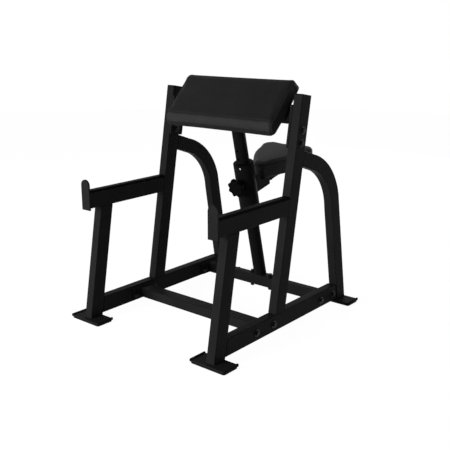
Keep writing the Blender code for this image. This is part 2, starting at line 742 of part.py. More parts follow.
def cross_member(name, depth, height, place, flange_width, flange_height, flange_centre, bolts):
    """A tube across the machine with a flange welded to each end. The flange's outline and its
    bolt holes are given in the plane of the side frame, from the member's own centre."""
    tube_place = place[0] @ ALONG_X
    to_tube = tube_place.inverted()
    weld_x = FLANGE_INNER_X + FLANGE_THICKNESS / 2
    solid = prism(lambda b: rectangle_face(b, depth, height, TUBE_CORNER), -weld_x, weld_x)
    tube = mesh_object(f"{name}_crossmember", solid, POWDER_COAT, tube_place)
    outline = rectangle_outline(flange_width, flange_height, FLANGE_CORNER, flange_centre)
    for side_name, side in SIDES.items():
        low_x = FLANGE_INNER_X if side > 0 else GAP - INNER_FACE_X
        flange = prism(lambda b: outline_face(b, outline), low_x, low_x + FLANGE_THICKNESS)
        flange.transform(to_tube @ place[1] @ ALONG_X)
        cut(tube, flange, f"{side_name}_flange", "UNION")
    bore = prism(lambda b: rectangle_face(b, depth - 2 * TUBE_WALL, height - 2 * TUBE_WALL,
                                          TUBE_CORNER - TUBE_WALL, 1), -FRAME_X, FRAME_X)
    cut(tube, bore, "bore")
    drill(tube, BOLT_RADIUS + HOLE_CLEARANCE, 2 * FRAME_X,
          [place[1] @ Matrix.Translation((0, y, z)) @ ALONG_X for y, z in bolts])
    return tube


def frame_bolts():
    """The twelve bolts that hold the cross-members between the side frames."""
    outer_x = FRAME_X + TUBE_WIDTH / 2 + GAP
    grip = outer_x - FLANGE_INNER_X + GAP
    groups = {"front": FRONT_BOLTS, "rear": REAR_BOLTS, "upper": UPRIGHT_BOLTS}
    for side_name, side in SIDES.items():
        outward = Matrix.Rotation(side * pi / 2, 4, "Y")
        for group, points in groups.items():
            for number, (y, z) in enumerate(points, 1):
                solid = bolt(BOLT_RADIUS, WASHER_RADIUS, BOLT_HEAD_FLATS, BOLT_HEAD_HEIGHT, NUT_HEIGHT,
                             grip, Matrix())
                mesh_object(f"{side_name}_{group}_bolt_{number}", solid, DARK_ZINC,
                            Matrix.Translation((side * outer_x, y, z)) @ outward)


def flat_cross_member(name, y, z, depth, height, spread):
    """A cross-member between the two rails."""
    place = Matrix.Translation((0, y, z))
    bolts = [(-spread / 2, 0), (spread / 2, 0)]
    return cross_member(name, depth, height, (place, place), spread + 2 * FLANGE_EDGE, FLANGE_HEIGHT,
                        (0, 0), bolts)


# Centre post

REAR_CROSS_TOP = REAR_CROSS_Z + REAR_CROSS_HEIGHT / 2
PAD_NORMAL = Vector((0, -sin(PAD_SLOPE), cos(PAD_SLOPE)))
POST_FOOT = Vector((0, REAR_CROSS_Y + POST_FOOT_OFFSET, REAR_CROSS_TOP))
PAD_UPHILL = Vector((0, cos(PAD_SLOPE), sin(PAD_SLOPE)))
POST_HEAD = UPPER_CROSS_CENTRE - PAD_NORMAL * (CROSS_HEIGHT / 2 + GAP) + PAD_UPHILL * POST_HEAD_CLIMB
POST_LEAN = atan2(POST_FOOT.y - POST_HEAD.y, POST_HEAD.z - POST_FOOT.z)
POST_LENGTH = (POST_HEAD - POST_FOOT).length
POST_PLACE = Matrix.Translation(POST_FOOT) @ tilt(POST_LEAN)
FORWARD = tilt(pi / 2)


def centre_post():
    """The round post that carries the seat, with its row of height holes and its bolted foot."""
    flange_top = REAR_CROSS_TOP + GAP + POST_FLANGE_THICKNESS
    trims = [((0, 0, flange_top + GAP), (0, 0, -1)), (POST_HEAD, PAD_NORMAL)]
    solid = prism(lambda b: circle_face(b, POST_RADIUS), -POST_RADIUS, POST_LENGTH + 2 * POST_RADIUS, trims,
                  POST_PLACE)
    post = mesh_object("centre_post", solid, POWDER_COAT, POST_PLACE)
    cut(post, cylinder(POST_RADIUS - POST_WALL, -2 * POST_RADIUS, POST_LENGTH + 4 * POST_RADIUS), "bore")
    holes = bmesh.new()
    for step in range(-HOLES_EACH_WAY, HOLES_EACH_WAY + 1):
        height = Matrix.Translation((0, 0, CARRIAGE_HEIGHT + step * HOLE_PITCH))
        merge(holes, cylinder(POST_HOLE_RADIUS, POST_RADIUS / 2, 2 * POST_RADIUS, 12, height @ FORWARD))
    cut(post, holes, "height_holes")

    bolt_xs = (-POST_BOLT_SPREAD / 2, POST_BOLT_SPREAD / 2)
    bolt_y = -POST_FOOT_OFFSET
    outlines = [rectangle_outline(POST_FLANGE_WIDTH, POST_FLANGE_LENGTH, FLANGE_CORNER)]
    outlines += [hole_outline(x, bolt_y, BOLT_RADIUS + HOLE_CLEARANCE) for x in bolt_xs]
    plate("post_foot_flange", outlines, POST_FLANGE_THICKNESS, POWDER_COAT,
          Matrix.Translation(POST_FOOT + Vector((0, 0, GAP))))

    grip = flange_top + 2 * GAP - REAR_CROSS_TOP + REAR_CROSS_HEIGHT
    for side_name, side in SIDES.items():
        solid = bolt(BOLT_RADIUS, POST_WASHER_RADIUS, BOLT_HEAD_FLATS, BOLT_HEAD_HEIGHT, NUT_HEIGHT, grip,
                     Matrix())
        mesh_object(f"{side_name}_post_bolt", solid, DARK_ZINC,
                    Matrix.Translation((side * POST_BOLT_SPREAD / 2, REAR_CROSS_Y, flange_top + GAP)))
    return [Matrix.Translation((x, REAR_CROSS_Y, REAR_CROSS_Z)) for x in bolt_xs]


# Arm pad

PAD_BACK = CROSS_HEIGHT / 2 + GAP
PAD_FACE = PAD_BACK + PAD_THICKNESS - GAP


def arm_pad_outline():
    """The pad's side view, anticlockwise from its lower back corner; y runs up the slope."""
    face = PAD_FACE - PAD_CROWN
    corners = [(-PAD_LOWER_REACH, PAD_BACK, PAD_BACK_CORNER), (PAD_UPPER_REACH, PAD_BACK, PAD_BACK_CORNER),
               (PAD_UPPER_REACH, face, PAD_ROLL_RADIUS), (-PAD_LOWER_REACH, face, PAD_NOSE_RADIUS)]
    return refine(rounded_outline(corners, 6), 0.030)


def arm_pad():
    """The crowned arm pad, its board let into its back, bolted to the upper cross-member."""
    outline = arm_pad_outline()
    half = PAD_WIDTH / 2
    middle = (PAD_UPPER_REACH - PAD_LOWER_REACH) / 2
    half_depth = (PAD_UPPER_REACH + PAD_LOWER_REACH) / 2
    from_end = [PAD_END_ROUND * (1 - cos(radians(angle))) for angle in (0, 30, 60, 90)]
    from_end += [PAD_END_ROUND + (PAD_CORNER - PAD_END_ROUND) * share for share in (0.35, 0.7, 1.0)]
    inner = half - PAD_CORNER
    stations = [-(half - distance) for distance in from_end]
    stations += [inner * share for share in (-0.66, -0.33, 0.0, 0.33, 0.66)]
    stations += [half - distance for distance in reversed(from_end)]
    rings = []
    for x in stations:
        distance = half - abs(x)
        edge = max(PAD_END_ROUND - distance, 0)
        inset = PAD_END_ROUND - sqrt(PAD_END_ROUND ** 2 - edge ** 2)
        corner = max(PAD_CORNER - distance, 0)
        corner_cut = PAD_CORNER - sqrt(PAD_CORNER ** 2 - corner ** 2) - inset
        crown = PAD_CROWN * (1 - (x / half) ** 2)
        points = []
        for y, z in offset_outline(outline, inset):
            share = (y - middle) / half_depth
            height = (z - PAD_BACK) / (PAD_FACE - PAD_BACK)
            pull = PAD_SIDE_PULL * (1 - (x / half) ** 2) * 4 * height * max(1 - height, 0)
            y -= share * max(corner_cut, 0)
            y -= (pull if share > 0 else -pull) * max(abs(share) * 8 - 7, 0)
            z += crown * max(1 - share ** 2, 0) * height
            points.append((x, y, z))
        rings.append(points)
    bm = loft(rings)
    pad = mesh_object("arm_pad", bm, VINYL, PAD_PLACE)
    board_low = PAD_BOARD_INSET - PAD_LOWER_REACH
    board_high = PAD_UPPER_REACH - PAD_BOARD_INSET
    board_half = half - PAD_BOARD_INSET
    pocket = box((-board_half - GAP, board_low - GAP, PAD_BACK - PAD_THICKNESS),
                 (board_half + GAP, board_high + GAP, PAD_BACK + PAD_BOARD_THICKNESS + GAP))
    cut(pad, pocket, "board_pocket")
    board_box = box((-board_half, board_low, PAD_BACK),
                    (board_half, board_high, PAD_BACK + PAD_BOARD_THICKNESS))
    board = mesh_object("arm_pad_board", board_box, PLYWOOD, PAD_PLACE, smooth=False)

    places = [PAD_PLACE @ Matrix.Translation((x, 0, 0)) for x in PAD_BOLT_XS]
    drill(board, SMALL_BOLT_RADIUS + HOLE_CLEARANCE, 2 * (PAD_BACK + PAD_BOARD_THICKNESS), places)
    return places


# Seat carriage, built around the point of the post's axis at the height of the pull pin

SLEEVE_BORE = SLEEVE_RADIUS - SLEEVE_WALL
LINER_BORE = POST_RADIUS + LINER_CLEARANCE
SEAT_ARM_TOP = SEAT_ARM_UNDERSIDE + SEAT_ARM_DEPTH


def sleeve(carriage):
    """The outer tube that slides on the post, with a moulded liner let into each end."""
    solid = cylinder(SLEEVE_RADIUS, -SLEEVE_BELOW, SLEEVE_ABOVE)
    tube = mesh_object("seat_sleeve", solid, POWDER_COAT, Matrix(), carriage)
    cut(tube, cylinder(SLEEVE_BORE, -2 * SLEEVE_BELOW, 2 * SLEEVE_ABOVE), "bore")
    cut(tube, cylinder(HOUSING_RADIUS + GAP, SLEEVE_BORE / 2, 2 * SLEEVE_RADIUS, 24, FORWARD), "housing_hole")

    ends = {"upper": (Matrix.Translation((0, 0, SLEEVE_ABOVE)), 1),
            "lower": (Matrix.Translation((0, 0, -SLEEVE_BELOW)) @ Matrix.Rotation(pi, 4, "Y"), -1)}
    for end, (place, up) in ends.items():
        outer = SLEEVE_BORE - GAP
        profile = [(LINER_BORE, -LINER_LENGTH), (outer, -LINER_LENGTH), (outer, GAP), (SLEEVE_RADIUS, GAP),
                   (SLEEVE_RADIUS, LINER_LIP - LINER_LIP_CHAMFER),
                   (SLEEVE_RADIUS - LINER_LIP_CHAMFER, LINER_LIP), (LINER_BORE, LINER_LIP)]
        liner = mesh_object(f"{end}_liner", lathe(profile), PLASTIC, place, carriage)
        turn = Matrix.Rotation(up * LINER_SCREW_TURN, 4, "Z")
        radial = turn @ Matrix.Translation((0, 0, -LINER_SCREW_DROP)) @ FORWARD
        hole = LINER_SCREW_RADIUS + HOLE_CLEARANCE
        cut(liner, cylinder(hole, POST_RADIUS / 2, 2 * SLEEVE_RADIUS, 12, radial), "screw_hole")
        cut(tube, cylinder(hole, SLEEVE_BORE / 2, 2 * SLEEVE_RADIUS, 12, place @ radial), f"{end}_screw_hole")

def pull_pin(carriage, pin_body):
    """The sprung pin that locks the height: its housing, the pin, its spring and its star knob."""
    shank = PIN_RADIUS + PIN_CLEARANCE
    chamber = PIN_COLLAR_RADIUS + PIN_CLEARANCE
    stem = PIN_STEM_RADIUS + PIN_CLEARANCE
    end_wall = HOUSING_OUTER_END - HOUSING_END_WALL
    profile = [(shank, HOUSING_INNER_END), (HOUSING_RADIUS, HOUSING_INNER_END),
               (HOUSING_RADIUS, HOUSING_OUTER_END), (stem, HOUSING_OUTER_END), (stem, end_wall),
               (chamber, end_wall), (chamber, HOUSING_SHOULDER), (shank, HOUSING_SHOULDER)]
    mesh_object("pin_housing", lathe(profile, 24), BRIGHT_STEEL, FORWARD, carriage)

    nose = POST_RADIUS + PIN_NOSE_CLEARANCE
    collar = HOUSING_SHOULDER + GAP
    collar_top = collar + PIN_COLLAR_THICKNESS
    pin_chamfer = PIN_RADIUS / 4
    socket_end = KNOB_FACE - KNOB_EDGE
    stations = [(nose, PIN_RADIUS - pin_chamfer), (nose + pin_chamfer, PIN_RADIUS), (collar, PIN_RADIUS),
                (collar, PIN_COLLAR_RADIUS), (collar_top, PIN_COLLAR_RADIUS), (collar_top, PIN_STEM_RADIUS),
                (socket_end, PIN_STEM_RADIUS)]
    mesh_object("pull_pin", turned(stations, 24), BRIGHT_STEEL, FORWARD, pin_body)

    low = collar_top + GAP + SPRING_WIRE
    high = end_wall - GAP - SPRING_WIRE
    spring_radius = (stem + chamber) / 2
    count = SPRING_TURNS * SPRING_POINTS_PER_TURN
    curve = bpy.data.curves.new("pin_spring", "CURVE")
    curve.dimensions = "3D"
    curve.bevel_depth = SPRING_WIRE
    curve.bevel_resolution = 1
    curve.use_fill_caps = True
    spline = curve.splines.new("POLY")
    spline.points.add(count)
    for index, point in enumerate(spline.points):
        angle = 2 * pi * index / SPRING_POINTS_PER_TURN
        z = low + (high - low) * index / count
        point.co = (spring_radius * cos(angle), spring_radius * sin(angle), z, 1.0)
    spring = bpy.data.objects.new("pin_spring", curve)
    MACHINE.objects.link(spring)
    spring.parent = carriage
    spring.matrix_local = FORWARD
    curve.materials.append(material(BRIGHT_STEEL))

    head_back = KNOB_FACE - KNOB_HEAD_DEPTH
    steps = KNOB_LOBES * KNOB_STEPS_PER_LOBE
    middle = (KNOB_RADIUS + KNOB_VALLEY) / 2
    swing = (KNOB_RADIUS - KNOB_VALLEY) / 2

    def knob_ring(z, radius_at):
        angles = [2 * pi * step / steps for step in range(steps)]
        return [(radius_at(angle) * cos(angle), radius_at(angle) * sin(angle), z) for angle in angles]

    def hub(angle):
        return KNOB_HUB_RADIUS

    def lobes(angle):
        return middle - swing * cos(KNOB_LOBES * angle)

    def lobes_in(angle):
        return lobes(angle) - KNOB_EDGE

    rings = [knob_ring(KNOB_BACK, hub), knob_ring(head_back, hub), knob_ring(head_back, lobes_in),
             knob_ring(head_back + KNOB_EDGE, lobes), knob_ring(KNOB_FACE - KNOB_EDGE, lobes),
             knob_ring(KNOB_FACE, lobes_in)]
    knob = mesh_object("star_knob", loft(rings), PLASTIC, FORWARD, pin_body)
    pocket_end = HOUSING_OUTER_END + KNOB_POCKET_CLEARANCE
    cut(knob, cylinder(HOUSING_RADIUS + KNOB_POCKET_CLEARANCE, KNOB_BACK / 2, pocket_end, 24), "pocket")
    cut(knob, cylinder(PIN_STEM_RADIUS + GAP, KNOB_BACK, socket_end + GAP, 24), "socket")


def seat_arm(carriage):
    """The arm behind the sleeve, its two gussets and the plate that the seat is bolted to."""
    place = Matrix.Translation((0, 0, SEAT_ARM_UNDERSIDE + SEAT_ARM_DEPTH / 2)) @ tilt(-pi / 2)
    start = SLEEVE_RADIUS * 0.8
    arm = square_tube("seat_arm", SEAT_ARM_WIDTH, SEAT_ARM_DEPTH, SEAT_ARM_CORNER, TUBE_WALL, start,
                      SEAT_ARM_END, [], place, POWDER_COAT, carriage)
    to_arm = place.inverted()
    weld_radius = SLEEVE_RADIUS + GAP
    cut(arm, cylinder(weld_radius, -SLEEVE_BELOW, SLEEVE_ABOVE, ROUND_SEGMENTS, to_arm), "sleeve_cope")
    cap_place = Matrix.Translation((0, SEAT_ARM_END + GAP, SEAT_ARM_UNDERSIDE + SEAT_ARM_DEPTH / 2))
    end_cap("seat_arm_cap", SEAT_ARM_WIDTH, SEAT_ARM_DEPTH, SEAT_ARM_CORNER, TUBE_WALL,
            cap_place @ tilt(-pi / 2), carriage)

    low = SEAT_ARM_UNDERSIDE - GUSSET_DROP
    corners = [(start, low, 0), (GUSSET_LENGTH, low, GUSSET_ROUND),
               (GUSSET_LENGTH, SEAT_ARM_TOP, GUSSET_ROUND),
               (GUSSET_SHOULDER + GUSSET_ROUND, SEAT_ARM_TOP, GUSSET_ROUND),
               (GUSSET_SHOULDER, SEAT_ARM_TOP + 0.7 * GUSSET_RISE, 2 * GUSSET_ROUND),
               (start, SEAT_ARM_TOP + GUSSET_RISE, 0)]
    outline = rounded_outline(corners)
    for side_name, side in SIDES.items():
        inner_x = SEAT_ARM_WIDTH / 2 + GAP
        low_x = inner_x if side > 0 else -inner_x - GUSSET_THICKNESS
        gusset_place = Matrix.Translation((low_x, 0, 0)) @ ALONG_X
        bm = prism(lambda b: outline_face(b, outline), 0, GUSSET_THICKNESS)
        gusset = mesh_object(f"{side_name}_seat_gusset", bm, POWDER_COAT, gusset_place, carriage)
        cut(gusset, cylinder(weld_radius, -2 * SLEEVE_BELOW, 2 * SLEEVE_ABOVE, ROUND_SEGMENTS,
                             gusset_place.inverted()), "sleeve_cope")

    plate_centre = SEAT_PLATE_START + SEAT_PLATE_LENGTH / 2
    bolt_ys = [SEAT_PLATE_START + setback for setback in SEAT_BOLT_SETBACKS]
    outlines = [rectangle_outline(SEAT_PLATE_WIDTH, SEAT_PLATE_LENGTH, FLANGE_CORNER)]
    hole = SMALL_BOLT_RADIUS + HOLE_CLEARANCE
    outlines += [hole_outline(0, y - plate_centre, hole) for y in bolt_ys]
    plate("seat_plate", outlines, SEAT_PLATE_THICKNESS, POWDER_COAT,
          Matrix.Translation((0, plate_centre, SEAT_ARM_TOP + GAP)), carriage)
    holes = bmesh.new()
    for y in bolt_ys:
        merge(holes, cylinder(hole, -SEAT_ARM_DEPTH, SEAT_ARM_DEPTH, 12,
                              to_arm @ Matrix.Translation((0, y, SEAT_ARM_UNDERSIDE))))
    cut(arm, holes, "bolt_holes")
    return bolt_ys


def seat_outline():
    """The seat's outline from above, anticlockwise: narrow at the post, wide and round behind."""
    corners = [(-SEAT_FRONT_HALF_WIDTH, SEAT_FRONT, SEAT_FRONT_CORNER),
               (SEAT_FRONT_HALF_WIDTH, SEAT_FRONT, SEAT_FRONT_CORNER),
               (SEAT_MIDDLE_HALF_WIDTH, SEAT_MIDDLE, SEAT_MIDDLE_CORNER),
               (SEAT_REAR_HALF_WIDTH, SEAT_REAR, SEAT_REAR_CORNER),
               (-SEAT_REAR_HALF_WIDTH, SEAT_REAR, SEAT_REAR_CORNER),
               (-SEAT_MIDDLE_HALF_WIDTH, SEAT_MIDDLE, SEAT_MIDDLE_CORNER)]
    return refine(rounded_outline(corners, 5), 0.035)


def seat(carriage, bolt_ys):
    """The crowned seat, with its board let into its underside."""
    outline = seat_outline()
    bottom = SEAT_ARM_TOP + 2 * GAP + SEAT_PLATE_THICKNESS
    edge_height = SEAT_THICKNESS - SEAT_CROWN
    levels = [(0.0, SEAT_EDGE_ROUND * 0.6), (0.06, SEAT_EDGE_ROUND * 0.1), (0.25, SEAT_SIDE_PULL * 0.6),
              (0.5, SEAT_SIDE_PULL), (0.75, SEAT_SIDE_PULL * 0.4), (0.88, 0.0),
              (0.95, SEAT_EDGE_ROUND * 0.35), (1.0, SEAT_EDGE_ROUND)]
    rings = []
    for share, inset in levels:
        z = bottom + share * edge_height
        rings.append([(x, y, z) for x, y in offset_outline(outline, inset)])
    centre_y = (SEAT_FRONT + 2 * SEAT_REAR) / 3
    brim = rings[-1]
    for scale in (0.85, 0.6, 0.3):
        z = bottom + edge_height + SEAT_CROWN * (1 - scale ** 2)
        rings.append([(x * scale, centre_y + (y - centre_y) * scale, z) for x, y, _ in brim])
    pad = mesh_object("seat_pad", loft(rings), VINYL, Matrix(), carriage)
    board_outline = offset_outline(outline, SEAT_BOARD_INSET)
    pocket = prism(lambda b: outline_face(b, offset_outline(board_outline, -GAP)), bottom - SEAT_THICKNESS,
                   bottom + SEAT_BOARD_THICKNESS + GAP)
    cut(pad, pocket, "board_pocket")
    board_bm = prism(lambda b: outline_face(b, board_outline), bottom, bottom + SEAT_BOARD_THICKNESS)
    board = mesh_object("seat_board", board_bm, PLYWOOD, Matrix(), carriage, smooth=False)
    holes = bmesh.new()
    for y in bolt_ys:
        merge(holes, cylinder(SMALL_BOLT_RADIUS + HOLE_CLEARANCE, bottom - SEAT_BOARD_THICKNESS,
                              bottom + SEAT_BOARD_THICKNESS * 0.9, 12, Matrix.Translation((0, y, 0))))
    cut(board, holes, "bolt_holes")
    return pad


def build():
    for side_name, side in SIDES.items():
        side_frame(side_name, side)
    flat_cross_member("front", FRONT_CROSS_Y, FRONT_CROSS_Z, CROSS_DEPTH, FRONT_CROSS_HEIGHT,
                      FRONT_BOLT_SPREAD)
    rear_tube = flat_cross_member("rear", REAR_CROSS_Y, REAR_CROSS_Z, REAR_CROSS_DEPTH, REAR_CROSS_HEIGHT,
                                  REAR_BOLT_SPREAD)
    leaning = Matrix.Translation(UPPER_CROSS_CENTRE) @ tilt(-UPRIGHT_LEAN)
    upper_tube = cross_member("upper", CROSS_DEPTH, CROSS_HEIGHT, (PAD_PLACE, leaning),
                              TUBE_DEPTH + UPPER_FLANGE_BACK, UPPER_FLANGE_LENGTH,
                              (UPPER_FLANGE_BACK / 2, -UPPER_FLANGE_DROP),
                              [(0, -drop) for drop in UPPER_BOLT_DROPS])
    frame_bolts()
    drill(rear_tube, BOLT_RADIUS + HOLE_CLEARANCE, 2 * REAR_CROSS_HEIGHT, centre_post())
    drill(upper_tube, SMALL_BOLT_RADIUS + HOLE_CLEARANCE, 2 * CROSS_HEIGHT, arm_pad())

    carriage_place = POST_PLACE @ Matrix.Translation((0, 0, CARRIAGE_HEIGHT))
    carriage = empty("seat_carriage", carriage_place)
    pin_body = empty("pin_and_knob", Matrix(), carriage)
    sleeve(carriage)
    pull_pin(carriage, pin_body)
    seat_pad = seat(carriage, seat_arm(carriage))

    rear_end = max((carriage_place @ vert.co).y for vert in seat_pad.data.vertices)
    middle_y = (rear_end - FOOTPRINT_LENGTH / 2) / 2
    footprint = empty("footprint", Matrix.Translation((0, -middle_y, 0)))
    for piece in MACHINE.objects:
        if piece.parent is None and piece != footprint:
            piece.parent = footprint


build()
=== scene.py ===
"""Looks of the arm-curl bench: painted tube frame, stitched pad and seat, knob, bolts and welds.

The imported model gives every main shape. Each of its rigid pieces is copied, merged, given rounded
edges and a finish. The arm pad and the seat are inflated from their solids and sewn. The lips of
the rubber feet, small bolts, screws, washers and weld beads are added here.
"""

import json
from math import cos, pi, radians, sin

import bmesh
import bpy
from mathutils import Matrix, Vector


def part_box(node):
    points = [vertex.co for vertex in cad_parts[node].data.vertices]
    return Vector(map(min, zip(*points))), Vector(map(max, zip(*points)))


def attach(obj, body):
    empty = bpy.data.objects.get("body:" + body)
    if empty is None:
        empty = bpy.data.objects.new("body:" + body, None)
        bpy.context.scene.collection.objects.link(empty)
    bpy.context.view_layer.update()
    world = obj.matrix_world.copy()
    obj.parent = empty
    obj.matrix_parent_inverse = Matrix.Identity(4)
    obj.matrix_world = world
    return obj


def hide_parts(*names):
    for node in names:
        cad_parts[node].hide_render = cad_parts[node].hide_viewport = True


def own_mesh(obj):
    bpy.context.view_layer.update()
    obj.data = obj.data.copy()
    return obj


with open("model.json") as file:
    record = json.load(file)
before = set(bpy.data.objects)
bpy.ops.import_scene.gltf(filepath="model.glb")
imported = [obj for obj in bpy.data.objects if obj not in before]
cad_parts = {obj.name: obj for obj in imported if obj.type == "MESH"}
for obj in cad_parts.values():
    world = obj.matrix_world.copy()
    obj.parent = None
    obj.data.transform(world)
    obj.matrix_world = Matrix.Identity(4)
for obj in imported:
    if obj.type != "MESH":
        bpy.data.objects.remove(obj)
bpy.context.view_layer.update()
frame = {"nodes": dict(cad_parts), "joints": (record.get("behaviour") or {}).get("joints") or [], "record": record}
NODES = frame["nodes"]
BODIES = frame["record"]["behaviour"]["bodies"]
BODY_OF = {name: body for body, names in BODIES.items() for name in names}
SLOT_OF = {row["node"]: row["material_slot"] for row in frame["record"]["subparts"]}
AXES = {joint["name"]: Vector(joint["axis"]) for joint in frame["joints"]}

# Places repeated from the part's source, in metres
GAP = 0.0003
PAD_SLOPE = radians(46.3)
CROSS_HEIGHT = 0.038
PAD_LOWER_REACH = 0.136
PAD_UPPER_REACH = 0.149
PAD_THICKNESS = 0.056
BOARD_THICKNESS = 0.015
PAD_BACK = CROSS_HEIGHT / 2 + GAP
PAD_FACE = PAD_BACK + PAD_THICKNESS - GAP
PAD_HALF_WIDTH = 0.319
PAD_BOLT_XS = (-0.22, -0.10, 0.10, 0.22)
SLEEVE_RADIUS = 0.0495
SLEEVE_ABOVE = 0.100
SLEEVE_BELOW = 0.188
LINER_SCREW_DROP = 0.012
LINER_SCREW_TURN = radians(18)
SEAT_ARM_UNDERSIDE = -0.063
SEAT_ARM_DEPTH = 0.035
SEAT_PLATE_RISE = 0.0046
SEAT_BOLT_YS = (0.195, 0.265)
SEAT_BOTTOM = SEAT_ARM_UNDERSIDE + SEAT_ARM_DEPTH + SEAT_PLATE_RISE
SEAT_THICKNESS = 0.076
SEAT_TOP = SEAT_BOTTOM + SEAT_THICKNESS
UPRIGHT_LEAN = radians(9.77)

X_AXIS = Vector((1, 0, 0))
Y_AXIS = Vector((0, 1, 0))
Z_AXIS = Vector((0, 0, 1))


def middle(node):
    """The centre of a node's box."""
    low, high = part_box(node)
    return (low + high) / 2


def axes_place(origin, x_axis, y_axis, z_axis):
    """A matrix from an origin and three axes."""
    turn = Matrix((x_axis, y_axis, z_axis)).transposed()
    return Matrix.Translation(origin) @ turn.to_4x4()


def facing(direction, point, side=X_AXIS):
    """A place at a point whose Z runs along a direction."""
    z_axis = direction.normalized()
    y_axis = z_axis.cross(side).normalized()
    return axes_place(point, y_axis.cross(z_axis), y_axis, z_axis)


PAD_NORMAL = Vector((0, -sin(PAD_SLOPE), cos(PAD_SLOPE)))
PAD_UPHILL = Vector((0, cos(PAD_SLOPE), sin(PAD_SLOPE)))
PAD_ORIGIN = (middle("arm_pad_board") - PAD_UPHILL * (PAD_UPPER_REACH - PAD_LOWER_REACH) / 2
              - PAD_NORMAL * (PAD_BACK + BOARD_THICKNESS / 2))
PAD_PLACE = axes_place(PAD_ORIGIN, X_AXIS, PAD_UPHILL, PAD_NORMAL)

UP = AXES["seat_height"]
BACK = -AXES["knob_pull"]
CARRIAGE_ORIGIN = middle("seat_sleeve") + UP * (SLEEVE_BELOW - SLEEVE_ABOVE) / 2
CARRIAGE_PLACE = axes_place(CARRIAGE_ORIGIN, X_AXIS, BACK, UP)

UPRIGHT_NORMAL = Vector((0, cos(UPRIGHT_LEAN), -sin(UPRIGHT_LEAN)))


# Tools

MERGE_DISTANCE = 0.00001
SHARP_ANGLE = radians(32)
SOFT_ANGLE = radians(60)


def deselect():
    if bpy.context.object and bpy.context.object.mode != "OBJECT":
        bpy.ops.object.mode_set(mode="OBJECT")
    bpy.ops.object.select_all(action="DESELECT")


def activate(piece):
    deselect()
    piece.select_set(True)
    bpy.context.view_layer.objects.active = piece


def edit(piece):
    activate(piece)
    bpy.ops.object.mode_set(mode="EDIT")
    bpy.ops.mesh.select_all(action="SELECT")


def done():
    bpy.ops.object.mode_set(mode="OBJECT")


def apply_place(piece):
    activate(piece)
    bpy.ops.object.transform_apply(location=True, rotation=True, scale=True)


def join(piece, others):
    activate(piece)
    for other in others:
        other.select_set(True)
    bpy.ops.object.join()


def modify(piece, kind, **settings):
    """Adds a modifier and applies it."""
    activate(piece)
    modifier = piece.modifiers.new(kind.lower(), kind)
    for name, value in settings.items():
        setattr(modifier, name, value)
    bpy.ops.object.modifier_apply(modifier=modifier.name)


def round_edges(piece, width, segments=2, angle=radians(30)):
    modify(piece, "BEVEL", width=width, segments=segments, limit_method="ANGLE", angle_limit=angle)


def smooth(piece, angle=SHARP_ANGLE):
    activate(piece)
    bpy.ops.object.shade_smooth_by_angle(angle=angle)


def block(size, centre, turn=0.0):
    """A box, turned about Z."""
    bpy.ops.mesh.primitive_cube_add(size=1.0, rotation=(0, 0, turn))
    piece = bpy.context.object
    piece.scale = size
    piece.location = centre
    apply_place(piece)
    return piece


def rod(radius, low, high, sides):
    """A cylinder on the Z axis between two heights."""
    bpy.ops.mesh.primitive_cylinder_add(vertices=sides, radius=radius, depth=high - low,
                                        location=(0, 0, (low + high) / 2))
    piece = bpy.context.object
    apply_place(piece)
    return piece


def strand(name, runs, radius, closed=False, wave=1.0, angle=SOFT_ANGLE):
    """Round strands, one along each run of points, each other point thinner by a wave."""
    curve = bpy.data.curves.new(name, "CURVE")
    curve.dimensions = "3D"
    curve.bevel_depth = radius
    curve.bevel_resolution = 1
    curve.use_fill_caps = True
    for run in runs:
        spline = curve.splines.new("POLY")
        spline.points.add(len(run) - 1)
        for index, (control, co) in enumerate(zip(spline.points, run)):
            control.co = (*co, 1.0)
            control.radius = 1.0 if index % 2 else wave
        spline.use_cyclic_u = closed
    piece = bpy.data.objects.new(name, curve)
    bpy.context.scene.collection.objects.link(piece)
    activate(piece)
    bpy.ops.object.convert(target="MESH")
    piece = bpy.context.object
    smooth(piece, angle)
    return piece


def merged_copy(node, name):
    """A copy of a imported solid, free of its body and merged into one skin."""
    piece = NODES[node].copy()
    piece.data = NODES[node].data.copy()
    for key in list(piece.keys()):
        del piece[key]
    piece.name = name
    piece.parent = None
    bpy.context.scene.collection.objects.link(piece)
    edit(piece)
    bpy.ops.mesh.customdata_custom_splitnormals_clear()
    bpy.ops.mesh.remove_doubles(threshold=MERGE_DISTANCE)
    done()
    return piece


def dress(piece, body, finish):
    """Gives a piece its body and its material."""
    piece.data.materials.clear()
    piece.data.materials.append(finish)
    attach(piece, body)


# Materials

RAMP_LOW = 0.3
RAMP_HIGH = 0.7


def start_material(name, roughness, metallic=0.0, specular=0.5):
    made = bpy.data.materials.new(name)
    made.use_nodes = True
    shader = made.node_tree.nodes["Principled BSDF"]
    shader.inputs["Roughness"].default_value = roughness
    shader.inputs["Metallic"].default_value = metallic
    shader.inputs["Specular IOR Level"].default_value = specular
    return made, made.node_tree, shader


def add_node(tree, kind, **values):
    """A node whose values go to the inputs of those names, or else to its settings."""
    made = tree.nodes.new(kind)
    for name, value in values.items():
        if name in made.inputs:
            made.inputs[name].default_value = value
        else:
            setattr(made, name.lower(), value)
    return made


def pattern(tree, kind, stretch=(1, 1, 1), **values):
    """A texture node on Object coordinates."""
    coordinates = add_node(tree, "ShaderNodeTexCoord")
    mapping = add_node(tree, "ShaderNodeMapping", Scale=stretch)
    texture = add_node(tree, kind, **values)
    tree.links.new(coordinates.outputs["Object"], mapping.inputs["Vector"])
    tree.links.new(mapping.outputs["Vector"], texture.inputs["Vector"])
    return texture


def noise(tree, scale, detail, stretch=(1, 1, 1), distortion=0.0):
    """The factor of a noise pattern."""
    texture = pattern(tree, "ShaderNodeTexNoise", stretch, Scale=scale, Detail=detail,
                      Distortion=distortion)
    return texture.outputs["Fac"]


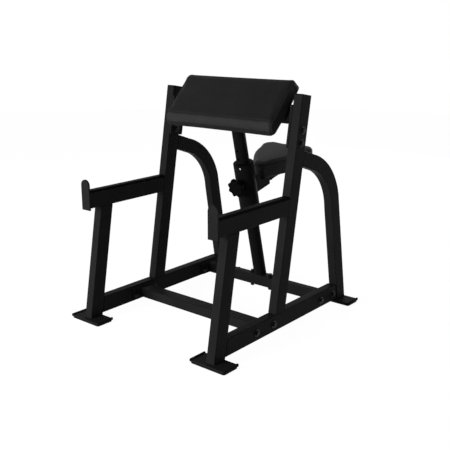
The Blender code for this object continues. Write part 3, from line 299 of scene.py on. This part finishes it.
def colour_by(tree, shader, factor, dark, light):
    """The base colour runs from dark to light with a pattern."""
    ramp = add_node(tree, "ShaderNodeValToRGB")
    ramp.color_ramp.elements[0].position = RAMP_LOW
    ramp.color_ramp.elements[0].color = (*dark, 1.0)
    ramp.color_ramp.elements[1].position = RAMP_HIGH
    ramp.color_ramp.elements[1].color = (*light, 1.0)
    tree.links.new(factor, ramp.inputs["Fac"])
    tree.links.new(ramp.outputs["Color"], shader.inputs["Base Color"])


def spread_over(tree, factor, low, high, target):
    """Drives a socket from low to high with a factor."""
    spread = add_node(tree, "ShaderNodeMapRange")
    spread.inputs["To Min"].default_value = low
    spread.inputs["To Max"].default_value = high
    tree.links.new(factor, spread.inputs["Value"])
    tree.links.new(spread.outputs["Result"], target)


def roughness_by(tree, shader, factor, low, high):
    spread_over(tree, factor, low, high, shader.inputs["Roughness"])


def bump_by(tree, shader, height, distance, strength, under=None):
    """Adds a bump, on top of an earlier one where that is given."""
    bump = add_node(tree, "ShaderNodeBump", Strength=strength, Distance=distance)
    tree.links.new(height, bump.inputs["Height"])
    if under:
        tree.links.new(under.outputs["Normal"], bump.inputs["Normal"])
    tree.links.new(bump.outputs["Normal"], shader.inputs["Normal"])
    return bump


def powder_coat(name, dark, light):
    """Satin black powder coat with a fine orange peel."""
    made, tree, shader = start_material(name, 0.44, specular=0.012)
    colour_by(tree, shader, noise(tree, 7.0, 4.0), (dark, dark, dark * 1.03),
              (light, light, light * 1.02))
    roughness_by(tree, shader, noise(tree, 160.0, 3.0), 0.36, 0.54)
    peel = bump_by(tree, shader, noise(tree, 900.0, 1.0), 0.00025, 0.5)
    bump_by(tree, shader, noise(tree, 60.0, 1.0), 0.0006, 0.3, peel)
    return made


def vinyl(name, dark, light, specular):
    """Matt black upholstery vinyl with a pebbled leather grain."""
    made, tree, shader = start_material(name, 0.5, specular=specular)
    colour_by(tree, shader, noise(tree, 9.0, 5.0), (dark, dark, dark),
              (light, light, light * 0.985))
    cells = pattern(tree, "ShaderNodeTexVoronoi", Scale=620.0, feature="DISTANCE_TO_EDGE")
    roughness_by(tree, shader, cells.outputs["Distance"], 0.60, 0.42)
    grain = bump_by(tree, shader, cells.outputs["Distance"], 0.0006, 0.6)
    bump_by(tree, shader, noise(tree, 45.0, 3.0, distortion=0.6), 0.0012, 0.35, grain)
    return made


def thread():
    """Twisted black sewing thread."""
    made, tree, shader = start_material("sewing_thread", 0.6, specular=0.08)
    twist = noise(tree, 1500.0, 1.0)
    colour_by(tree, shader, twist, (0.016, 0.016, 0.016), (0.034, 0.034, 0.034))
    bump_by(tree, shader, twist, 0.0002, 0.6)
    return made


def rubber():
    """Matt moulded rubber."""
    made, tree, shader = start_material("moulded_rubber", 0.85, specular=0.04)
    colour_by(tree, shader, noise(tree, 25.0, 5.0), (0.006, 0.006, 0.006), (0.010, 0.010, 0.010))
    bump_by(tree, shader, noise(tree, 700.0, 2.0), 0.0004, 0.6)
    return made


def plastic():
    """Black moulding with a fine spark-eroded texture."""
    made, tree, shader = start_material("moulded_plastic", 0.5, specular=0.012)
    colour_by(tree, shader, noise(tree, 30.0, 3.0), (0.0018, 0.0018, 0.0019),
              (0.0034, 0.0034, 0.0035))
    grain = noise(tree, 1300.0, 2.0)
    roughness_by(tree, shader, grain, 0.42, 0.58)
    bump_by(tree, shader, grain, 0.0002, 0.6)
    return made


def plywood():
    """Raw plywood with its grain along the board."""
    made, tree, shader = start_material("raw_plywood", 0.7, specular=0.3)
    grain = noise(tree, 1.0, 6.0, stretch=(5.0, 90.0, 90.0), distortion=0.4)
    colour_by(tree, shader, grain, (0.25, 0.145, 0.072), (0.43, 0.285, 0.155))
    bump_by(tree, shader, grain, 0.0006, 0.4)
    return made


def plated(name, dark, light, roughness):
    """Zinc-plated steel with the faint mottle of its plating."""
    made, tree, shader = start_material(name, roughness, metallic=1.0)
    mottle = noise(tree, 180.0, 4.0)
    colour_by(tree, shader, mottle, dark, light)
    roughness_by(tree, shader, mottle, roughness - 0.08, roughness + 0.10)
    scratches = noise(tree, 400.0, 2.0, stretch=(1.0, 1.0, 12.0))
    bump_by(tree, shader, scratches, 0.00008, 0.5)
    return made


FINISHES = {
    "powder_coat": powder_coat("satin_powder_coat", 0.0122, 0.0160),
    # The post coat is the same powder coat made darker: painted shade for the post and sleeve
    "painted_shade_coat": powder_coat("post_painted_shade_coat", 0.0048, 0.0070),
    "vinyl": vinyl("grained_vinyl", 0.0105, 0.0135, 0.04),
    # The nose vinyl is the pad's vinyl made lighter: painted light on the band that faces down and forwards
    "nose_painted_light_vinyl": vinyl("nose_panel_painted_light_vinyl", 0.0195, 0.0240, 0.06),
    "seat_vinyl": vinyl("seat_vinyl", 0.0165, 0.0205, 0.09),
    "rubber": rubber(),
    "plastic": plastic(),
    "plywood": plywood(),
    "thread": thread(),
    "dark_zinc": plated("black_zinc", (0.006, 0.006, 0.0065), (0.015, 0.015, 0.016), 0.45),
    "bright_steel": plated("bright_zinc", (0.42, 0.42, 0.43), (0.60, 0.60, 0.61), 0.30)}


# Rigid pieces

FLAT_ANGLE = radians(1)
EDGE_WIDTHS = {"powder_coat": 0.0009, "plastic": 0.0007, "rubber": 0.0010, "plywood": 0.0006,
               "dark_zinc": 0.0004, "bright_steel": 0.0003}


def finished_copy(node):
    """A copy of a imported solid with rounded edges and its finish, shown instead of it."""
    slot = SLOT_OF[node]
    piece = merged_copy(node, f"{node}_finished")
    edit(piece)
    bpy.ops.mesh.dissolve_limited(angle_limit=FLAT_ANGLE)
    done()
    round_edges(piece, EDGE_WIDTHS[slot], angle=SHARP_ANGLE)
    smooth(piece)
    modify(piece, "WEIGHTED_NORMAL", keep_sharp=True, weight=80)
    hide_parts(node)
    dress(piece, BODY_OF[node], FINISHES[slot])
    return piece


FINISHED = {name: finished_copy(name) for name in sorted(NODES) if SLOT_OF[name] != "vinyl"}
# The post and sleeve take the darker copy of the coat, which is painted shade
for name in ("centre_post", "seat_sleeve"):
    FINISHED[name].data.materials[0] = FINISHES["painted_shade_coat"]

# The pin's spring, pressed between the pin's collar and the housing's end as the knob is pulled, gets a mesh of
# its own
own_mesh(FINISHED["pin_spring"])


# Upholstery

PAD_VOXEL = 0.005
SEAT_VOXEL = 0.004
CORNER_LOSS = 0.0022
SWELL_CAP = 0.0048
PRESSURE = 4.0
CLOTH_STEPS = 20
CLOTH_QUALITY = 4
HELD_RIM = 0.003
BOARD_INSET = 0.016
SIDE_STEP = 0.006

SEAM_WIDTH = 0.0052
SEAM_DEPTH = 0.0028
WELT_RADIUS = 0.0013
WELT_STEP = 0.004
STITCH_RADIUS = 0.0005
STITCH_STEP = 0.0024
STITCH_POINTS = 3
STITCH_OFFSET = 0.006
LOOP_GAP = 0.004
PATH_SMOOTHINGS = 3

LOWER_SEAM_Y = -0.0965
END_SEAM_X = PAD_HALF_WIDTH - 0.011
SEAT_SEAM_Z = SEAT_TOP - 0.0105


def push_out(piece, distance, held):
    """Moves the free points outwards, to make up for the corners that a remesh takes off."""
    normals = [vertex.normal.copy() for vertex in piece.data.vertices]
    for vertex, normal in zip(piece.data.vertices, normals):
        if not held(vertex.co):
            vertex.co += normal * distance


def swell(piece, held):
    """Runs a cushion as filled cloth with its held points pinned, and caps each point's way."""
    before = [vertex.co.copy() for vertex in piece.data.vertices]
    pins = piece.vertex_groups.new(name="pins")
    pins.add([vertex.index for vertex in piece.data.vertices if held(vertex.co)], 1.0, "REPLACE")
    cloth = piece.modifiers.new("cloth", "CLOTH")
    cloth.settings.vertex_group_mass = "pins"
    cloth.settings.use_pressure = True
    cloth.settings.uniform_pressure_force = PRESSURE
    cloth.settings.effector_weights.gravity = 0
    cloth.settings.quality = CLOTH_QUALITY
    cloth.collision_settings.use_collision = False
    cloth.point_cache.frame_start = 1
    cloth.point_cache.frame_end = CLOTH_STEPS
    for step in range(1, CLOTH_STEPS + 1):
        bpy.context.scene.frame_set(step)
    bpy.ops.object.modifier_apply(modifier=cloth.name)
    bpy.context.scene.frame_set(1)
    for vertex, start in zip(piece.data.vertices, before):
        travel = vertex.co - start
        if travel.length > SWELL_CAP:
            vertex.co = start + travel * (SWELL_CAP / travel.length)
    piece.vertex_groups.clear()


def inflate(piece, voxel, held, smoothings):
    """Remeshes a cushion, swells it and evens out its skin."""
    activate(piece)
    piece.data.remesh_voxel_size = voxel
    bpy.ops.object.voxel_remesh()
    push_out(piece, CORNER_LOSS, held)
    swell(piece, held)
    modify(piece, "SMOOTH", factor=0.5, iterations=smoothings)
    modify(piece, "SUBSURF", levels=1, render_levels=1)


def groove(piece, point, direction, wanted):
    """Pulls the skin in along the plane of a seam."""
    normals = [vertex.normal.copy() for vertex in piece.data.vertices]
    for vertex, normal in zip(piece.data.vertices, normals):
        distance = abs((vertex.co - point).dot(direction))
        if distance < SEAM_WIDTH and wanted(vertex.co):
            pull = 0.5 + 0.5 * cos(pi * distance / SEAM_WIDTH)
            vertex.co -= normal * SEAM_DEPTH * pull


def follow(edge, edges):
    """The points of the run of cut edges that an edge belongs to, taken out of the rest."""
    run = [edge.verts[0], edge.verts[1]]
    for at_end in (False, True):
        while True:
            tip = run[-1] if at_end else run[0]
            following = [other for other in tip.link_edges if other in edges]
            if not following:
                break
            del edges[following[0]]
            run.insert(len(run) if at_end else 0, following[0].other_vert(tip))
    return [vertex.co.copy() for vertex in run]


def path_length(points):
    return sum((b - a).length for a, b in zip(points, points[1:]))


def seam_path(piece, point, direction, wanted):
    """The wanted points, in order, where a seam's plane meets the skin, and if they close."""
    bm = bmesh.new()
    bm.from_mesh(piece.data)
    geometry = bm.verts[:] + bm.edges[:] + bm.faces[:]
    cut = bmesh.ops.bisect_plane(bm, geom=geometry, plane_co=point, plane_no=direction, dist=1e-6)
    # The dict keeps the cut edges in order, and so a path starts at the same place each time
    edges = dict.fromkeys(item for item in cut["geom_cut"] if isinstance(item, bmesh.types.BMEdge))
    runs = []
    while edges:
        start, _ = edges.popitem()
        runs.append(follow(start, edges))
    bm.free()
    longest = max(runs, key=lambda run: (len(run), path_length(run)))
    closed = (longest[0] - longest[-1]).length < LOOP_GAP
    if closed:
        first = next((i for i, co in enumerate(longest) if not wanted(co)), 0)
        longest = longest[first:] + longest[1:first + 1]
    kept = [co for co in longest if wanted(co)]
    return kept, closed and len(kept) == len(longest)


def even_points(points, spacing, closed):
    """Points at an even spacing along a path, smoothed a little."""
    path = points + [points[0]] if closed else points
    for _ in range(PATH_SMOOTHINGS):
        inner = [(a + b * 2 + c) / 4 for a, b, c in zip(path, path[1:], path[2:])]
        path = [path[0]] + inner + [path[-1]]
    lengths = [0.0]
    for a, b in zip(path, path[1:]):
        lengths.append(lengths[-1] + (b - a).length)
    count = max(4, round(lengths[-1] / spacing))
    result = []
    index = 0
    for step in range(count + (0 if closed else 1)):
        target = lengths[-1] * step / count
        while index < len(lengths) - 2 and lengths[index + 1] < target:
            index += 1
        span = lengths[index + 1] - lengths[index]
        share = (target - lengths[index]) / span if span else 0.0
        result.append(path[index].lerp(path[index + 1], share))
    return result


def sew(piece, name, point, direction, wanted, offset, place, body):
    """A sewn seam: a groove, the welt that lies in it, and a row of stitches beside it."""
    groove(piece, point, direction, wanted)
    points, closed = seam_path(piece, point, direction, wanted)
    welt = strand(f"{name}_welt", [even_points(points, WELT_STEP, closed)], WELT_RADIUS, closed)
    welt.data.transform(place)
    dress(welt, body, FINISHES["vinyl"])
    beside, closed = seam_path(piece, point + direction * offset, direction, wanted)
    beside = even_points(beside, STITCH_STEP, closed)
    runs = [beside[start:start + STITCH_POINTS]
            for start in range(0, len(beside) - STITCH_POINTS, STITCH_POINTS)]
    row = strand(f"{name}_stitches_1", runs, STITCH_RADIUS)
    row.data.transform(place)
    dress(row, body, FINISHES["thread"])


def finish_cushion(piece, node, place, body, finish):
    """Puts a sewn cushion in its node's place."""
    smooth(piece, SOFT_ANGLE)
    piece.data.transform(place)
    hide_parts(node)
    dress(piece, body, finish)


def everywhere(co):
    return True


def arm_pad_held(co):
    """The back of the pad, and the pocket that its board lies in."""
    if co.z < PAD_BACK + HELD_RIM:
        return True
    reach = HELD_RIM - BOARD_INSET
    in_pocket = (abs(co.x) < PAD_HALF_WIDTH + reach
                 and -PAD_LOWER_REACH - reach < co.y < PAD_UPPER_REACH + reach)
    return in_pocket and co.z < PAD_BACK + BOARD_THICKNESS + HELD_RIM


def on_pad_front(co):
    return co.z > (PAD_BACK + PAD_FACE) / 2 and abs(co.x) < END_SEAM_X


def off_pad_back(co):
    return co.z > PAD_BACK + 2 * HELD_RIM


def arm_pad():
    """The arm pad: a front panel, a nose panel whose lighter vinyl is painted light, and two end panels."""
    pad = merged_copy("arm_pad", "arm_pad_cushion")
    pad.data.transform(PAD_PLACE.inverted())
    inflate(pad, PAD_VOXEL, arm_pad_held, 2)
    sew(pad, "arm_pad_lower_seam", Y_AXIS * LOWER_SEAM_Y, Y_AXIS, on_pad_front, STITCH_OFFSET,
        PAD_PLACE, "frame")
    for side, sign in (("left", 1), ("right", -1)):
        sew(pad, f"arm_pad_{side}_seam", X_AXIS * sign * END_SEAM_X, X_AXIS, off_pad_back,
            -sign * STITCH_OFFSET, PAD_PLACE, "frame")
    finish_cushion(pad, "arm_pad", PAD_PLACE, "frame", FINISHES["vinyl"])
    pad.data.materials.append(FINISHES["nose_painted_light_vinyl"])
    # Faces below the lower seam on the front take the lighter vinyl, which is painted light
    to_pad = PAD_PLACE.inverted()
    for face in pad.data.polygons:
        centre = to_pad @ face.center
        if centre.y < LOWER_SEAM_Y and on_pad_front(centre):
            face.material_index = 1


def seat():
    """The seat: a top panel, a side panel all round, and the welted seam between them."""
    pad = merged_copy("seat_pad", "seat_cushion")
    pad.data.transform(CARRIAGE_PLACE.inverted())
    half_height = SEAT_BOTTOM + SEAT_THICKNESS / 2
    outline, closed = seam_path(pad, Z_AXIS * half_height, Z_AXIS, everywhere)
    side_points = [co.xy for co in even_points(outline, SIDE_STEP, closed)]

    def held(co):
        """The underside of the seat, and the pocket that its board lies in."""
        if co.z < SEAT_BOTTOM + HELD_RIM:
            return True
        return co.z < SEAT_BOTTOM + BOARD_THICKNESS + HELD_RIM and all(
            (co.xy - point).length >= BOARD_INSET - HELD_RIM for point in side_points)

    inflate(pad, SEAT_VOXEL, held, 1)
    sew(pad, "seat_seam", Z_AXIS * SEAT_SEAM_Z, Z_AXIS, everywhere, -STITCH_OFFSET,
        CARRIAGE_PLACE, "seat_carriage")
    finish_cushion(pad, "seat_pad", CARRIAGE_PLACE, "seat_carriage", FINISHES["seat_vinyl"])


arm_pad()
seat()


# Lips of the rubber feet

LIP_HEIGHT = 0.0045
LIP_DEPTH = 0.0075
LIP_REACH = 0.0012
LIP_ROOT = 0.002
LIP_ROUNDING = 0.0021


def foot_lips(side, end):
    """The lips of a rubber foot, which wrap over its plate's short ends."""
    foot = FINISHED[f"{side}_{end}_rubber_foot"]
    low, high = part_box(f"{side}_{end}_foot_plate")
    top = high.z + LIP_HEIGHT
    bottom = low.z - LIP_ROOT
    lips = []
    for edge, sign in ((low.x, 1), (high.x, -1)):
        outer = edge - sign * LIP_REACH
        inner = edge + sign * LIP_DEPTH
        lip = block((abs(outer - inner), high.y - low.y + 2 * LIP_REACH, top - bottom),
                    ((outer + inner) / 2, (low.y + high.y) / 2, (top + bottom) / 2))
        round_edges(lip, LIP_ROUNDING, segments=3)
        lips.append(lip)
    join(foot, lips)
    smooth(foot)
    foot.data.materials.clear()
    foot.data.materials.append(FINISHES["rubber"])


for side in ("left", "right"):
    for end in ("front", "rear"):
        foot_lips(side, end)


# Small fasteners

BOLT_FLATS = 0.013
BOLT_HEAD = 0.0053
BOLT_CHAMFER = 0.07
BOLT_DOME = 0.03
BOLT_RADIUS = 0.004
BOLT_LENGTH = 0.016
WASHER_RADIUS = 0.0085
WASHER_THICKNESS = 0.0016
BOLT_ROUNDING = 0.0003

SCREW_RADIUS = 0.0042
SCREW_HEIGHT = 0.0022
RECESS_SIZE = (SCREW_RADIUS * 1.05, SCREW_RADIUS * 0.24, SCREW_HEIGHT * 1.2)


def hex_bolt(name, place, body):
    """A hexagon screw whose head stands up from a washer on its own XY plane."""
    piece = rod(BOLT_FLATS / 2 / cos(pi / 6), WASHER_THICKNESS, WASHER_THICKNESS + BOLT_HEAD, 6)
    piece.name = name
    edit(piece)
    bpy.ops.mesh.select_all(action="DESELECT")
    done()
    for face in piece.data.polygons:
        face.select = face.normal.z > 0.9
    bpy.ops.object.mode_set(mode="EDIT")
    bpy.ops.mesh.inset(thickness=BOLT_FLATS * BOLT_CHAMFER)
    bpy.ops.transform.translate(value=(0, 0, BOLT_FLATS * BOLT_DOME))
    done()
    round_edges(piece, BOLT_ROUNDING, angle=radians(20))
    washer = rod(WASHER_RADIUS, 0.0, WASHER_THICKNESS, 32)
    round_edges(washer, BOLT_ROUNDING)
    shank = rod(BOLT_RADIUS, -BOLT_LENGTH, 0.0, 20)
    join(piece, (washer, shank))
    smooth(piece)
    piece.data.transform(place)
    dress(piece, body, FINISHES["dark_zinc"])


def pan_screw(name, place, body):
    """A small cross-recessed screw whose domed head stands on its own XY plane."""
    bpy.ops.mesh.primitive_uv_sphere_add(segments=24, ring_count=16, radius=1.0)
    piece = bpy.context.object
    piece.name = name
    edit(piece)
    bpy.ops.mesh.bisect(plane_co=(0, 0, 0), plane_no=(0, 0, 1), clear_inner=True, use_fill=True)
    done()
    piece.scale = (SCREW_RADIUS, SCREW_RADIUS, SCREW_HEIGHT)
    apply_place(piece)
    for turn in (0.0, pi / 2):
        recess = block(RECESS_SIZE, (0, 0, SCREW_HEIGHT), turn)
        modify(piece, "BOOLEAN", object=recess, operation="DIFFERENCE", solver="EXACT")
        bpy.data.objects.remove(recess)
    smooth(piece)
    piece.data.transform(place)
    dress(piece, body, FINISHES["bright_steel"])


for number, x in enumerate(PAD_BOLT_XS, 1):
    back_face = PAD_PLACE @ Vector((x, 0, -CROSS_HEIGHT / 2))
    hex_bolt(f"arm_pad_bolt_{number}", facing(-PAD_NORMAL, back_face), "frame")
for number, y in enumerate(SEAT_BOLT_YS, 1):
    under_arm = CARRIAGE_PLACE @ Vector((0, y, SEAT_ARM_UNDERSIDE))
    hex_bolt(f"seat_bolt_{number}", facing(-UP, under_arm), "seat_carriage")
for end, height, turn in (("upper", SLEEVE_ABOVE - LINER_SCREW_DROP, LINER_SCREW_TURN),
                          ("lower", LINER_SCREW_DROP - SLEEVE_BELOW, -LINER_SCREW_TURN)):
    outward = Vector((sin(turn), -cos(turn), 0))
    spot = CARRIAGE_PLACE @ (outward * SLEEVE_RADIUS + Z_AXIS * height)
    place = facing(CARRIAGE_PLACE.to_3x3() @ outward, spot, UP)
    pan_screw(f"{end}_liner_screw", place, "seat_carriage")


# Welds

WELD_RADIUS = 0.0021
WELD_STEP = 0.0026
WELD_WAVE = 0.80
WELD_ANGLE = radians(70)
WELD_DEPTH = 0.0012
FLANGE_DEPTH = 0.0112


def weld_end(node, label, direction, depth=WELD_DEPTH):
    """The rippled weld round the end of a tube that lies furthest along a direction."""
    tube = FINISHED[node]
    furthest = max(vertex.co.dot(direction) for vertex in tube.data.vertices)
    points, closed = seam_path(tube, direction * (furthest - depth), direction, everywhere)
    bead = strand(f"{node}_{label}_weld", [even_points(points, WELD_STEP, closed)], WELD_RADIUS,
                  closed, WELD_WAVE, WELD_ANGLE)
    dress(bead, BODY_OF[node], FINISHES["powder_coat"])


for side in ("left", "right"):
    weld_end(f"{side}_upright", "foot", -Z_AXIS)
    weld_end(f"{side}_front_leg", "foot", -Z_AXIS)
    weld_end(f"{side}_front_leg", "head", Z_AXIS)
    weld_end(f"{side}_bar_arm", "rear", UPRIGHT_NORMAL)
    weld_end(f"{side}_rear_arch", "head", -UPRIGHT_NORMAL)
    weld_end(f"{side}_rear_arch", "foot", -Z_AXIS)
for member in ("front", "rear", "upper"):
    for side, sign in (("left", 1), ("right", -1)):
        weld_end(f"{member}_crossmember", side, X_AXIS * sign, FLANGE_DEPTH)
weld_end("centre_post", "foot", -Z_AXIS)
weld_end("centre_post", "head", PAD_NORMAL)


# Camera, world, floor and lamps

CAMERA_MATRIX = Matrix(((0.76902, -0.16904, 0.61647, 2.1209),
                        (0.63923, 0.20337, -0.74165, -2.54313),
                        (0.0, 0.9644, 0.26445, 1.3264),
                        (0.0, 0.0, 0.0, 1.0)))
LENS = 57.49
SENSOR = 36.0
VIEW_DEPTH = 100.0
WHITE = (1.0, 1.0, 1.0, 1.0)
SKY_LIGHT = 0.15
FLOOR_RADIUS = 9.0
FLOOR_DROP = 0.0005
FLOOR_COLOUR = (0.80, 0.80, 0.80, 1.0)
FLOOR_GLOW_SHARE = 0.86
FLOOR_GLOW = 1.12

# Each lamp's name, place, target, width in metres and power in watts
LAMPS = (("key", (-1.4, -4.6, 1.2), (0.0, 0.0, 0.5), 2.4, 235.0),
         ("side", (2.7, -0.9, 1.0), (0.4, 0.0, 0.5), 1.0, 6.0),
         ("rear", (0.2, 4.7, 0.9), (0.0, 0.0, 0.5), 1.6, 70.0))


def add_camera():
    data = bpy.data.cameras.new("camera")
    data.lens = LENS
    data.sensor_width = SENSOR
    data.clip_end = VIEW_DEPTH
    camera = bpy.data.objects.new("camera", data)
    bpy.context.scene.collection.objects.link(camera)
    camera.matrix_world = CAMERA_MATRIX
    bpy.context.scene.camera = camera


def seen_directly(tree):
    """1 for camera, glossy and transmission rays, 0 for the rest."""
    path = tree.nodes.new("ShaderNodeLightPath")
    first = add_node(tree, "ShaderNodeMath", Operation="MAXIMUM")
    second = add_node(tree, "ShaderNodeMath", Operation="MAXIMUM")
    tree.links.new(path.outputs["Is Camera Ray"], first.inputs[0])
    tree.links.new(path.outputs["Is Glossy Ray"], first.inputs[1])
    tree.links.new(first.outputs["Value"], second.inputs[0])
    tree.links.new(path.outputs["Is Transmission Ray"], second.inputs[1])
    return second.outputs["Value"]


def add_world():
    """A white surround that itself gives little light."""
    world = bpy.data.worlds.new("studio")
    bpy.context.scene.world = world
    world.use_nodes = True
    tree = world.node_tree
    background = tree.nodes["Background"]
    background.inputs["Color"].default_value = WHITE
    spread_over(tree, seen_directly(tree), SKY_LIGHT, 1.0, background.inputs["Strength"])


def add_floor():
    """A pale floor that meets the white surround and keeps a faint shadow."""
    bpy.ops.mesh.primitive_circle_add(vertices=96, radius=FLOOR_RADIUS, fill_type="NGON",
                                      location=(0, 0, -FLOOR_DROP))
    floor = bpy.context.object
    floor.name = "floor"
    apply_place(floor)
    made, tree, shader = start_material("pale_floor", 0.9)
    shader.inputs["Base Color"].default_value = FLOOR_COLOUR
    glow = add_node(tree, "ShaderNodeEmission", Strength=FLOOR_GLOW)
    glow.inputs["Color"].default_value = WHITE
    share = add_node(tree, "ShaderNodeMath", Operation="MULTIPLY")
    share.inputs[1].default_value = FLOOR_GLOW_SHARE
    tree.links.new(seen_directly(tree), share.inputs[0])
    mix = tree.nodes.new("ShaderNodeMixShader")
    tree.links.new(share.outputs["Value"], mix.inputs["Fac"])
    tree.links.new(shader.outputs["BSDF"], mix.inputs[1])
    tree.links.new(glow.outputs["Emission"], mix.inputs[2])
    tree.links.new(mix.outputs["Shader"], tree.nodes["Material Output"].inputs["Surface"])
    floor.data.materials.append(made)


def add_lamp(name, place, target, width, power):
    data = bpy.data.lights.new(name, "AREA")
    data.shape = "DISK"
    data.size = width
    data.energy = power
    lamp = bpy.data.objects.new(name, data)
    bpy.context.scene.collection.objects.link(lamp)
    lamp.location = place
    aim = Vector(target) - Vector(place)
    lamp.rotation_euler = aim.to_track_quat("-Z", "Y").to_euler()


add_camera()
add_world()
add_floor()
for lamp in LAMPS:
    add_lamp(*lamp)
bpy.context.scene.view_settings.view_transform = "Standard"

deselect()
